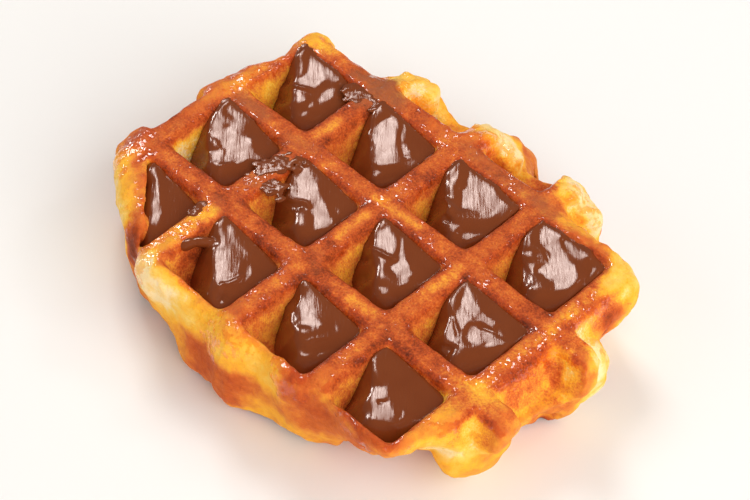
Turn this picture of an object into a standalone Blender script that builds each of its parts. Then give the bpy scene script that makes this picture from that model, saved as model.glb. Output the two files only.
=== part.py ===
"""A Liege waffle with chocolate spread in the twelve pockets of its top face.

One solid is the waffle: a pressed ball of dough with a ragged outline, with the iron's
teeth sunk into both of its faces. Twelve more solids are the dollops of chocolate, each
of which lies in its own pocket and leans against the pocket's far walls.

+X runs along the four pockets of a row, +Y across the three rows, +Z up, in metres.
The origin is the centre of the footprint, on the surface that the waffle lies on.
"""

import math

import bmesh
import bpy
from mathutils import Matrix, Vector, noise

MM = 0.001

# The iron's pattern
PITCH = 24.0 * MM
COLUMNS = 4
ROWS = 3
THICKNESS = 24.5 * MM
TOOTH_DEPTH = 9.5 * MM
TOOTH_CORNER = 2.2 * MM
# Half the width of a tooth at each height above the face that it presses, bottom up.
# The flare at the top rounds the shoulders of the bars.
TOOTH_SECTIONS = (
    (-TOOTH_DEPTH, 5.6 * MM),
    (-TOOTH_DEPTH + 0.9 * MM, 6.5 * MM),
    (-1.7 * MM, 8.7 * MM),
    (-0.5 * MM, 9.4 * MM),
    (0.0 * MM, 10.2 * MM),
    (1.2 * MM, 11.2 * MM),
)
# The pocket at the waffle's blunt corner is only half formed: the rim crosses it.
HALF_POCKET = (0, 0)

# The dough's outline at each face: a superellipse
TOP_CENTRE = (2.0 * MM, 3.5 * MM)
TOP_HALF_SIZE = (59.0 * MM, 38.5 * MM)
BOTTOM_CENTRE = (-2.0 * MM, 9.0 * MM)
BOTTOM_HALF_SIZE = (42.0 * MM, 46.5 * MM)
SQUARENESS = 3.0
RIM_ROUNDING = 8.5 * MM
RIM_SEGMENTS = 108
RIM_LEVELS = 13
# Where the dough ran on along a bar, past the last tooth: the direction in degrees,
# and how far it reaches beyond the outline at the top face and at the bottom face.
BULGES = (
    (139.0, 10.0 * MM, 1.5 * MM),
    (114.0, 9.0 * MM, 0.0 * MM),
    (89.0, 5.5 * MM, 9.0 * MM),
    (64.0, 8.5 * MM, 6.5 * MM),
    (36.0, 6.0 * MM, 10.5 * MM),
    (10.0, 3.0 * MM, 15.5 * MM),
    (357.0, 0.0 * MM, 6.5 * MM),
    (345.0, 3.5 * MM, 10.0 * MM),
    (322.0, 10.5 * MM, -5.0 * MM),
    (300.0, 4.0 * MM, -1.5 * MM),
    (274.0, 5.0 * MM, 2.0 * MM),
    (257.0, 1.0 * MM, 1.5 * MM),
    (239.0, 7.0 * MM, -5.0 * MM),
    (195.0, 1.0 * MM, 13.0 * MM),
    (165.0, -1.5 * MM, 9.5 * MM),
)
BULGE_SPREAD = 8.0

# The chocolate
GAP = 0.3 * MM
CREST_BELOW_BARS = 0.7 * MM
DOME = 0.8 * MM
BELLY_FALL = 13.0 * MM
BELLY_SPREAD = 0.42
FRONT_FALL = 6.0 * MM
RIPPLE = 0.5 * MM
DOLLOP_CELLS = 13
# Where each dollop falls away towards its bare wall, in rows of four from -Y to +Y:
# the share of the way from the pocket's middle to the corner that it leaves bare.
BELLY_REACH = (
    (2.00, 0.30, 0.22, 0.34),
    (0.34, 0.34, 0.30, 0.34),
    (0.54, 0.44, 0.34, 0.38),
)

CRUST_COLOUR = (0.62, 0.22, 0.035, 1.0)
CHOCOLATE_COLOUR = (0.105, 0.030, 0.012, 1.0)


def clear_scene():
    """Removes whatever the file opened with."""
    for obj in list(bpy.data.objects):
        bpy.data.objects.remove(obj, do_unlink=True)


def new_collection(name):
    collection = bpy.data.collections.new(name)
    bpy.context.scene.collection.children.link(collection)
    return collection


def new_material(name, colour, roughness):
    material = bpy.data.materials.new(name)
    material.use_nodes = True
    shader = material.node_tree.nodes["Principled BSDF"]
    shader.inputs["Base Color"].default_value = colour
    shader.inputs["Roughness"].default_value = roughness
    shader.inputs["Metallic"].default_value = 0.0
    material.diffuse_color = colour
    return material


def new_object(name, bm, collection, parent):
    """Turns a bmesh into an object with its faces outwards and frees the bmesh."""
    bmesh.ops.recalc_face_normals(bm, faces=bm.faces)
    if bm.calc_volume(signed=True) < 0.0:
        bmesh.ops.reverse_faces(bm, faces=bm.faces)
    mesh = bpy.data.meshes.new(name)
    bm.to_mesh(mesh)
    bm.free()
    obj = bpy.data.objects.new(name, mesh)
    collection.objects.link(obj)
    obj.parent = parent
    return obj


def hide_cutter(obj):
    obj.hide_render = True
    obj.display_type = "WIRE"


def pocket_centre(column, row):
    """The middle of a pocket at the face, counted from the -X -Y corner."""
    x = (column - (COLUMNS - 1) / 2) * PITCH
    y = (row - (ROWS - 1) / 2) * PITCH
    return Vector((x, y, 0.0))


def smooth_step(edge_0, edge_1, value):
    share = min(max((value - edge_0) / (edge_1 - edge_0), 0.0), 1.0)
    return share * share * (3.0 - 2.0 * share)


def superellipse_reach(angle, centre, half_size):
    """How far the outline lies from the origin in one direction, by bisection."""
    near = 0.0
    far = 2.0 * max(half_size)
    for _ in range(40):
        middle = (near + far) / 2
        along = abs((middle * math.cos(angle) - centre[0]) / half_size[0]) ** SQUARENESS
        across = abs((middle * math.sin(angle) - centre[1]) / half_size[1]) ** SQUARENESS
        if along + across < 1.0:
            near = middle
        else:
            far = middle
    return near


def rim_reach(angle):
    """The dough's reach in one direction, at the top face and at the bottom face."""
    top = superellipse_reach(angle, TOP_CENTRE, TOP_HALF_SIZE)
    bottom = superellipse_reach(angle, BOTTOM_CENTRE, BOTTOM_HALF_SIZE)
    for direction, extra_top, extra_bottom in BULGES:
        off = (math.degrees(angle) - direction + 180.0) % 360.0 - 180.0
        share = math.exp(-((off / BULGE_SPREAD) ** 2))
        top += extra_top * share
        bottom += extra_bottom * share
    return top, bottom


def drum_bmesh(segments, levels):
    """A drum of radius 1 and height 1 on z = 0, with a ring of points at each level."""
    bm = bmesh.new()
    bmesh.ops.create_cone(
        bm,
        cap_ends=True,
        segments=segments,
        radius1=1.0,
        radius2=1.0,
        depth=1.0,
        matrix=Matrix.Translation((0.0, 0.0, 0.5)),
    )
    for level in levels:
        geometry = bm.verts[:] + bm.edges[:] + bm.faces[:]
        bmesh.ops.bisect_plane(
            bm, geom=geometry, dist=1e-6, plane_co=(0.0, 0.0, level), plane_no=(0.0, 0.0, 1.0)
        )
    return bm


def make_dough(collection, parent):
    """The pressed ball of dough before the iron's teeth: a drum with a reshaped wall."""
    steps = range(1, RIM_LEVELS)
    bm = drum_bmesh(RIM_SEGMENTS, [(1.0 - math.cos(math.pi * step / RIM_LEVELS)) / 2 for step in steps])
    reaches = {}
    for vert in bm.verts:
        angle = math.atan2(vert.co.y, vert.co.x)
        key = round(angle, 5)
        if key not in reaches:
            reaches[key] = rim_reach(angle)
        top, bottom = reaches[key]
        share = min(max(vert.co.z, 0.0), 1.0)
        slope = math.sqrt(max(0.0, 1.0 - (2.0 * share - 1.0) ** 2))
        reach = top * share + bottom * (1.0 - share) - RIM_ROUNDING * (1.0 - slope) ** 1.5
        vert.co = (reach * math.cos(angle), reach * math.sin(angle), THICKNESS * share)
    return new_object("waffle", bm, collection, parent)


def corner_cut_point(angle, half_width, corner):
    """A point of a square with cut corners, for one of twelve equal turns of a drum."""
    quarter, step = divmod(round(angle / (math.pi / 6)) % 12, 3)
    middle = Vector((half_width - corner, half_width - corner, 0.0))
    turn = step * math.pi / 4
    point = middle + corner * Vector((math.cos(turn), math.sin(turn), 0.0))
    return Matrix.Rotation(quarter * math.pi / 2, 3, "Z") @ point


def tooth_bmesh(shrink):
    """One tooth of the iron, pointing down, with the waffle's face at z = 0."""
    low = TOOTH_SECTIONS[0][0]
    high = TOOTH_SECTIONS[-1][0]
    levels = [(height - low) / (high - low) for height, _ in TOOTH_SECTIONS]
    bm = drum_bmesh(12, levels[1:-1])
    for vert in bm.verts:
        nearest = min(range(len(levels)), key=lambda index: abs(levels[index] - vert.co.z))
        height, half_width = TOOTH_SECTIONS[nearest]
        angle = math.atan2(vert.co.y, vert.co.x) % (2 * math.pi)
        vert.co = corner_cut_point(angle, half_width - shrink, TOOTH_CORNER - shrink)
        vert.co.z = height + (shrink if nearest == 0 else 0.0)
    return bm


def cut_half_pocket(bm, inset):
    """Keeps the half of a tooth on the inner side of the line between two corners."""
    inward = Vector((1.0, 1.0, 0.0)).normalized()
    slant = (inward - Vector((0.0, 0.0, 0.25))).normalized()
    geometry = bm.verts[:] + bm.edges[:] + bm.faces[:]
    bmesh.ops.bisect_plane(
        bm, geom=geometry, dist=1e-7, plane_co=inward * inset, plane_no=slant, clear_inner=True
    )
    open_edges = [edge for edge in bm.edges if edge.is_boundary]
    bmesh.ops.holes_fill(bm, edges=open_edges)


def make_teeth(collection, parent):
    """Teeth for both faces, with a ring of cells more than the whole pockets."""
    for row in range(-1, ROWS + 1):
        for column in range(-1, COLUMNS + 1):
            for face in ("top", "bottom"):
                bm = tooth_bmesh(0.0)
                if (column, row) == HALF_POCKET:
                    cut_half_pocket(bm, 0.0)
                place = pocket_centre(column, row)
                if face == "top":
                    bm.transform(Matrix.Translation(place + Vector((0.0, 0.0, THICKNESS))))
                else:
                    bm.transform(Matrix.Translation(place) @ Matrix.Scale(-1.0, 4, (0.0, 0.0, 1.0)))
                hide_cutter(new_object(f"tooth_{face}_{column + 1}_{row + 1}", bm, collection, parent))


def dollop_height(across, along, belly_reach, seed):
    """The chocolate's surface over one pocket, down from the bar tops.

    across and along run from -1 to 1 over the pocket. The dollop is highest along the
    far walls, rounds over its belly towards the -X -Y corner and sinks at the front.
    """
    diagonal = (across + along) / 2
    belly = smooth_step(BELLY_SPREAD - belly_reach, -BELLY_SPREAD - belly_reach, diagonal)
    front = smooth_step(0.40, 1.10, (across - along) / 2)
    dome = max(0.0, 1.0 - across * across - along * along)
    place = Vector((across * 1.6, along * 1.6, seed * 3.7))
    ripple = noise.noise(place) * RIPPLE
    fall = BELLY_FALL * belly + FRONT_FALL * front
    return DOME * dome - CREST_BELOW_BARS - fall + ripple


def make_chocolate(column, row, collection, cutters, parent):
    """One dollop: a draped block, kept to the inside of its pocket."""
    seed = 1 + column + COLUMNS * row
    belly_reach = BELLY_REACH[row][column]
    half = TOOTH_SECTIONS[-1][1]
    bm = bmesh.new()
    bmesh.ops.create_grid(bm, x_segments=DOLLOP_CELLS, y_segments=DOLLOP_CELLS, size=half)
    for vert in bm.verts:
        across = vert.co.x / half
        along = vert.co.y / half
        vert.co.z = dollop_height(across, along, belly_reach, seed)
    drape = bmesh.ops.extrude_face_region(bm, geom=bm.faces[:])
    for item in drape["geom"]:
        if isinstance(item, bmesh.types.BMVert):
            item.co.z = -2.0 * TOOTH_DEPTH
    centre = pocket_centre(column, row) + Vector((0.0, 0.0, THICKNESS))
    bm.transform(Matrix.Translation(centre))
    name = f"chocolate_{column + 1}_{row + 1}"
    dollop = new_object(name, bm, collection, parent)

    bm = tooth_bmesh(GAP)
    if (column, row) == HALF_POCKET:
        cut_half_pocket(bm, GAP)
    bm.transform(Matrix.Translation(centre))
    bounds = new_object(f"bounds_{column + 1}_{row + 1}", bm, cutters, parent)
    hide_cutter(bounds)
    keep = dollop.modifiers.new("inside the pocket", "BOOLEAN")
    keep.operation = "INTERSECT"
    keep.object = bounds
    return dollop


def footprint_centre(obj):
    """The middle of an object's box, at the height of its lowest point."""
    graph = bpy.context.evaluated_depsgraph_get()
    evaluated = obj.evaluated_get(graph)
    mesh = evaluated.to_mesh()
    points = [obj.matrix_world @ vert.co for vert in mesh.vertices]
    evaluated.to_mesh_clear()
    low = [min(point[axis] for point in points) for axis in range(3)]
    high = [max(point[axis] for point in points) for axis in range(3)]
    return Vector(((low[0] + high[0]) / 2, (low[1] + high[1]) / 2, low[2]))


def main():
    clear_scene()
    parts = new_collection("liege waffle")
    cutters = new_collection("cutters")
    teeth = new_collection("iron teeth")
    root = bpy.data.objects.new("rest", None)
    parts.objects.link(root)

    waffle = make_dough(parts, root)
    make_teeth(teeth, root)
    press = waffle.modifiers.new("iron", "BOOLEAN")
    press.operation = "DIFFERENCE"
    press.operand_type = "COLLECTION"
    press.collection = teeth
    waffle.data.materials.append(new_material("waffle crust", CRUST_COLOUR, 0.45))

    chocolate = new_material("chocolate spread", CHOCOLATE_COLOUR, 0.22)
    for row in range(ROWS):
        for column in range(COLUMNS):
            dollop = make_chocolate(column, row, parts, cutters, root)
            dollop.data.materials.append(chocolate)

    bpy.context.view_layer.update()
    root.location = -footprint_centre(waffle)
    bpy.context.view_layer.update()


main()
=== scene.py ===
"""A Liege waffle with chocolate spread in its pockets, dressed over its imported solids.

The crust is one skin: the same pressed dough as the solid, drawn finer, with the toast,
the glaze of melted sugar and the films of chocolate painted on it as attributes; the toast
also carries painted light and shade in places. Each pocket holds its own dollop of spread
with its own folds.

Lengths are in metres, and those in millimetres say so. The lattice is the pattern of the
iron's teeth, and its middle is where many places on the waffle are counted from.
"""

import logging
import math
from dataclasses import dataclass
from enum import Enum

import bmesh
import bpy
import numpy as np
from mathutils import Matrix, Vector, noise

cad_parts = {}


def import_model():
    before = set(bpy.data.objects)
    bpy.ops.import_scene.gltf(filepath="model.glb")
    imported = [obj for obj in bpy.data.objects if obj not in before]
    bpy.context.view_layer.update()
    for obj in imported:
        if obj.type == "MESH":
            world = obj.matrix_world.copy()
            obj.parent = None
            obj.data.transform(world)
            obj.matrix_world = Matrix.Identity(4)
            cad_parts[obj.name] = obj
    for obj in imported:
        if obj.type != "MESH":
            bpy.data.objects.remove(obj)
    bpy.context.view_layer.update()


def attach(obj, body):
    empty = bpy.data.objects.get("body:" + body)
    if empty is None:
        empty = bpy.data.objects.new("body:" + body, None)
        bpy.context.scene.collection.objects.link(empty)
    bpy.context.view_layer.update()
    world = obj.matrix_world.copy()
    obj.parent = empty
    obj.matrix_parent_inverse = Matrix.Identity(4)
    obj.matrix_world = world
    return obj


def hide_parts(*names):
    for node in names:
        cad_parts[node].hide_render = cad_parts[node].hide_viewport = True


MM = 0.001
DIAGONAL = 2**0.5
LOG = logging.getLogger("liege_waffle")

Point = tuple[float, float]
Line = tuple[Point, ...]
Socket = bpy.types.NodeSocket


def linear(hex_colour: str) -> tuple[float, float, float, float]:
    """Turns an sRGB hex value into a linear colour.

    Args:
        hex_colour: six hex digits.

    Returns:
        The linear red, green, blue and an alpha of 1.
    """
    channels = []
    for start in (0, 2, 4):
        value = int(hex_colour[start : start + 2], 16) / 255.0
        channels.append(value / 12.92 if value <= 0.04045 else ((value + 0.055) / 1.055) ** 2.4)
    return channels[0], channels[1], channels[2], 1.0


def add_node(
    tree: bpy.types.NodeTree, kind: str, settings: dict | None = None, links: dict | None = None
) -> bpy.types.Node:
    """Adds a node to a tree.

    Args:
        tree: the material's node tree.
        kind: the node's Blender identifier.
        settings: attributes of the node, or input names or numbers, with plain values.
        links: input names or numbers, each with the output socket that feeds it.

    Returns:
        The new node.
    """
    node = tree.nodes.new(kind)
    for key, value in (settings or {}).items():
        if isinstance(key, str) and hasattr(node, key):
            setattr(node, key, value)
        else:
            node.inputs[key].default_value = value
    for key, source in (links or {}).items():
        tree.links.new(source, node.inputs[key])
    return node


def smooth_step(low: float, high: float, value: np.ndarray) -> np.ndarray:
    """Eases from 0 at low to 1 at high."""
    share = np.clip((value - low) / (high - low), 0.0, 1.0)
    return share * share * (3.0 - 2.0 * share)


def noise_at(points: np.ndarray, size: float, seed: float, octaves: int = 1) -> np.ndarray:
    """Samples smooth noise at many points.

    Args:
        points: an array of positions, one row each.
        size: how far apart the lumps of the noise lie.
        seed: a shift that gives another pattern.
        octaves: how many finer layers are added.

    Returns:
        One value from about -1 to 1 for each point.
    """
    shift = Vector((seed, seed * 1.7, seed * 0.6))
    scaled = points / size
    if octaves == 1:
        return np.array([noise.noise(Vector(point) + shift) for point in scaled])
    return np.array([noise.fractal(Vector(point) + shift, 1.0, 2.0, octaves) for point in scaled])


def point_outwards(bm: bmesh.types.BMesh) -> None:
    """Turns the faces of a closed mesh outwards.

    Args:
        bm: the mesh.
    """
    bmesh.ops.recalc_face_normals(bm, faces=bm.faces)
    if bm.calc_volume(signed=True) < 0.0:
        bmesh.ops.reverse_faces(bm, faces=bm.faces)


def mesh_object(name: str, bm: bmesh.types.BMesh) -> bpy.types.Object:
    """Turns a bmesh into a smooth shaded object at the origin and frees the bmesh.

    Args:
        name: the object's name.
        bm: the finished bmesh.

    Returns:
        The new object, linked to the scene.
    """
    point_outwards(bm)
    mesh = bpy.data.meshes.new(name)
    bm.to_mesh(mesh)
    bm.free()
    mesh.shade_smooth()
    obj = bpy.data.objects.new(name, mesh)
    bpy.context.scene.collection.objects.link(obj)
    return obj


def add_ball(
    bm: bmesh.types.BMesh, turns: int, rings: int, matrix: Matrix, power: float = 0.0
) -> None:
    """Adds a closed ball of radius 1, squared off and placed.

    Args:
        bm: the mesh that takes the ball.
        turns: how many faces it has round its waist.
        rings: how many it has from pole to pole.
        matrix: what sizes, turns and places it.
        power: 2 or more squares the ball off, and 0 leaves it as it is.
    """
    ball = bmesh.ops.create_uvsphere(bm, u_segments=turns, v_segments=rings, radius=1.0)
    if power > 0.0:
        for vert in ball["verts"]:
            vert.co /= sum(abs(value) ** power for value in vert.co) ** (1.0 / power)
    bmesh.ops.transform(bm, matrix=matrix, verts=ball["verts"])


def melt_in(obj: bpy.types.Object, bm: bmesh.types.BMesh) -> None:
    """Adds closed shapes to an object's mesh, for a remesh to make one skin of them.

    Args:
        obj: the object.
        bm: the shapes, which are freed.
    """
    bm.from_mesh(obj.data)
    bm.to_mesh(obj.data)
    bm.free()


def apply_modifier(obj: bpy.types.Object, kind: str, settings: dict) -> None:
    """Gives an object one modifier and replaces its mesh with what that makes of it.

    Args:
        obj: the object.
        kind: the modifier's Blender type.
        settings: the modifier's attributes with their values.
    """
    modifier = obj.modifiers.new(kind.lower(), kind)
    for key, value in settings.items():
        setattr(modifier, key, value)
    graph = bpy.context.evaluated_depsgraph_get()
    finished = bpy.data.meshes.new_from_object(obj.evaluated_get(graph))
    obj.modifiers.clear()
    old = obj.data
    obj.data = finished
    bpy.data.meshes.remove(old)
    finished.shade_smooth()


def cut(obj: bpy.types.Object, operation: str, cutter: bpy.types.Object) -> None:
    """Cuts one closed mesh with another, and removes the cutter.

    Args:
        obj: the object that is cut.
        operation: what is kept of it, as Blender's Boolean modifier calls it.
        cutter: the object that cuts it.
    """
    settings = {"operation": operation, "solver": "MANIFOLD", "object": cutter}
    apply_modifier(obj, "BOOLEAN", settings)
    mesh = cutter.data
    bpy.data.objects.remove(cutter, do_unlink=True)
    bpy.data.meshes.remove(mesh)


def redraw(obj: bpy.types.Object, voxel: float, rounds: int) -> None:
    """Draws a mesh again as one even skin of small quads, with its edges rounded.

    Args:
        obj: the object.
        voxel: the size of a quad.
        rounds: how often the skin is smoothed.
    """
    apply_modifier(obj, "REMESH", {"mode": "VOXEL", "voxel_size": voxel, "use_smooth_shade": True})
    apply_modifier(obj, "SMOOTH", {"factor": 0.5, "iterations": rounds})


def read_points(mesh: bpy.types.Mesh) -> tuple[np.ndarray, np.ndarray]:
    """Reads where a mesh's points are and where they face.

    Args:
        mesh: the mesh.

    Returns:
        The positions and the normals, one row for each point.
    """
    count = len(mesh.vertices)
    points = np.empty(count * 3, np.float32)
    normals = np.empty(count * 3, np.float32)
    mesh.vertices.foreach_get("co", points)
    mesh.vertex_normals.foreach_get("vector", normals)
    return points.reshape(-1, 3).astype(float), normals.reshape(-1, 3).astype(float)


def write_points(mesh: bpy.types.Mesh, points: np.ndarray) -> None:
    """Moves a mesh's points to new positions."""
    mesh.vertices.foreach_set("co", points.astype(np.float32).ravel())
    mesh.update()


def write_attribute(mesh: bpy.types.Mesh, name: str, values: np.ndarray) -> None:
    """Stores one number for each point under a name that materials can read."""
    attribute = mesh.attributes.new(name, "FLOAT", "POINT")
    attribute.data.foreach_set("value", values.astype(np.float32))


def distance_to_line(
    right: np.ndarray, down: np.ndarray, line: Line
) -> tuple[np.ndarray, np.ndarray, np.ndarray]:
    """Measures each point against a line of straight pieces.

    Args:
        right: the points' places across.
        down: the points' places down.
        line: the corners of the line.

    Returns:
        The distance, the side as 1 on the right hand of the line or -1, and the place along it
        from 0 to 1.
    """
    shortest = 1e-9
    best = np.full(right.shape, np.inf)
    side = np.ones(right.shape)
    place = np.zeros(right.shape)
    for number in range(len(line) - 1):
        x_0, y_0 = line[number]
        x_1, y_1 = line[number + 1]
        run_x, run_y = x_1 - x_0, y_1 - y_0
        squared = max(run_x**2 + run_y**2, shortest)
        share = ((right - x_0) * run_x + (down - y_0) * run_y) / squared
        share = np.clip(share, 0.0, 1.0)
        off_x = right - x_0 - share * run_x
        off_y = down - y_0 - share * run_y
        distance = np.hypot(off_x, off_y)
        closer = distance < best
        best = np.where(closer, distance, best)
        side = np.where(closer, np.where(run_x * off_y - run_y * off_x > 0.0, 1.0, -1.0), side)
        place = np.where(closer, (number + share) / (len(line) - 1), place)
    return best, side, place


def drum(segments: int, levels: list[float]) -> bmesh.types.BMesh:
    """Makes a closed drum of radius 1 and height 1.

    Args:
        segments: how many points are in each ring.
        levels: the heights of the rings between the bottom and the top.

    Returns:
        The drum, standing on z = 0.
    """
    bm = bmesh.new()
    bmesh.ops.create_cone(
        bm,
        cap_ends=True,
        segments=segments,
        radius1=1.0,
        radius2=1.0,
        depth=1.0,
        matrix=Matrix.Translation((0.0, 0.0, 0.5)),
    )
    for level in levels:
        geometry = bm.verts[:] + bm.edges[:] + bm.faces[:]
        bmesh.ops.bisect_plane(
            bm, geom=geometry, dist=1e-6, plane_co=(0.0, 0.0, level), plane_no=(0.0, 0.0, 1.0)
        )
    return bm


@dataclass(frozen=True)
class Iron:
    """The waffle iron's pattern: where its teeth stand and how they press."""

    pitch: float = 24.0 * MM
    columns: int = 4
    rows: int = 3
    # The rim crosses this pocket, so it is only half formed.
    half_pocket: tuple[int, int] = (0, 0)
    half_pocket_slant: float = 0.25
    thickness: float = 24.5 * MM
    depth: float = 9.5 * MM
    middle_x: float = -2.835 * MM
    middle_y: float = -10.406 * MM
    shoulder: float = 0.8 * MM
    flare_rise: float = 1.2 * MM
    # Each section of a tooth: its height above the face that it presses, and half its width.
    sections: Line = (
        (-9.5 * MM, 5.2 * MM),
        (-9.2 * MM, 6.1 * MM),
        (-8.3 * MM, 6.7 * MM),
        (-1.7 * MM, 8.8 * MM),
        (-0.8 * MM, 9.2 * MM),
        (0.0, 10.0 * MM),
        (1.2 * MM, 11.4 * MM),
    )
    segments: int = 56
    # A tooth's plan is a superellipse, rounder at its tip than at its mouth.
    tip_power: float = 5.0
    mouth_power: float = 9.0

    @property
    def half_mouth(self) -> float:
        """Half the width of a pocket just under the bars' shoulders."""
        return self.half_width(-self.shoulder)

    @property
    def half_flare(self) -> float:
        """Half the width of a tooth where it leaves the waffle."""
        return self.half_width(self.flare_rise)

    def centre(self, column: int, row: int) -> Vector:
        """Finds the middle of a pocket on the top face.

        Args:
            column: the pocket's column along X, from 0.
            row: the pocket's row along Y, from 0.

        Returns:
            The point at the face's height.
        """
        x = self.middle_x + (column - (self.columns - 1) / 2) * self.pitch
        y = self.middle_y + (row - (self.rows - 1) / 2) * self.pitch
        return Vector((x, y, self.thickness))

    def half_width(self, height: float) -> float:
        """Gives half the width of a tooth at a height above the face that it presses."""
        heights, halves = zip(*self.sections)
        return float(np.interp(height, heights, halves))

    def tooth(self, grow: float, column: int, row: int) -> bmesh.types.BMesh:
        """Makes one tooth that points down, with the waffle's face at z = 0.

        Args:
            grow: how far each wall is moved outwards.
            column: the column of the tooth's pocket.
            row: the row of the tooth's pocket.

        Returns:
            The tooth as a closed bmesh.
        """
        span = self.depth + self.flare_rise
        bm = drum(self.segments, [(height + self.depth) / span for height, _ in self.sections[1:-1]])
        for vert in bm.verts:
            height = vert.co.z * span - self.depth
            half = self.half_width(height) + grow
            angle = math.atan2(vert.co.y, vert.co.x)
            power = self.tip_power + self.mouth_power * (half / self.half_mouth) ** 2
            reach = (abs(math.cos(angle)) ** power + abs(math.sin(angle)) ** power) ** (-1.0 / power)
            vert.co = (half * reach * math.cos(angle), half * reach * math.sin(angle), height)
        if (column, row) == self.half_pocket:
            inward = Vector((1.0, 1.0, 0.0)).normalized()
            slant = (inward - Vector((0.0, 0.0, self.half_pocket_slant))).normalized()
            bmesh.ops.bisect_plane(
                bm,
                geom=bm.verts[:] + bm.edges[:] + bm.faces[:],
                dist=1e-7,
                plane_co=inward * -grow,
                plane_no=slant,
                clear_inner=True,
            )
            bmesh.ops.holes_fill(bm, edges=[edge for edge in bm.edges if edge.is_boundary])
        return bm


@dataclass(frozen=True)
class Bulge:
    """Dough that ran on along a bar, past the last tooth.

    It has a direction and a spread in degrees, and how far it reaches past the outline at
    the top face and at the bottom face.
    """

    direction: float
    top: float
    bottom: float
    spread: float = 8.0


@dataclass(frozen=True)
class Lump:
    """A knob of dough that swelled out of the iron, in millimetres from the lattice's middle.

    A power of 2 gives a round knob, and a higher one a knob with flat sides.
    """

    x: float
    y: float
    z: float
    along: float
    across: float
    tall: float
    turn: float = 0.0
    power: float = 2.0


@dataclass(frozen=True)
class Daub:
    """A soft stroke of paint on the crust, in millimetres from the lattice's middle.

    It follows (x, y) points and reaches from one height to another, and its edge wanders.
    """

    line: Line
    width: float
    amount: float
    low: float = -3.0
    high: float = 28.0


@dataclass(frozen=True)
class Relief:
    """Noise that pushes the skin in and out: how far, how wide its lumps are, and its layers.

    The first height is for dough that a plate touched, and the second is added where none did.
    """

    pressed: float
    free: float
    size: float
    seed: float
    octaves: int = 1
    flatten: float = 1.0


@dataclass(frozen=True)
class Mottle:
    """Noise in the paint: how strong it is, how wide its patches are, and its pattern."""

    amount: float
    size: float
    seed: float


@dataclass(frozen=True)
class Browning:
    """How brown each kind of place is, from 0 for pale dough to 1 for burnt sugar.

    The plain bars come first, and the others are added to them.
    """

    plain: float = 0.67
    shoulder: float = 0.08
    middle: float = -0.01
    # Walls and floors of the pockets are paler: pale dough, and painted light that lifts the shade inside
    # the pockets.
    wall: float = -0.15
    floor: float = -0.03
    free: float = -0.16
    free_kept_on_face: float = 0.7
    foot: float = 0.22
    mottles: tuple[Mottle, ...] = (Mottle(0.09, 9.0 * MM, 21.0), Mottle(0.05, 2.5 * MM, 33.0))


@dataclass(frozen=True)
class Wetting:
    """How much melted sugar lies on each kind of place; it shows as a glaze from about a half."""

    plain: float = 0.18
    shoulder_away: float = 0.55
    shoulder: float = 0.26
    free: float = 0.05
    floor: float = -0.35
    low_free: float = -0.40
    mottles: tuple[Mottle, ...] = (Mottle(0.28, 7.0 * MM, 40.0),)


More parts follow.
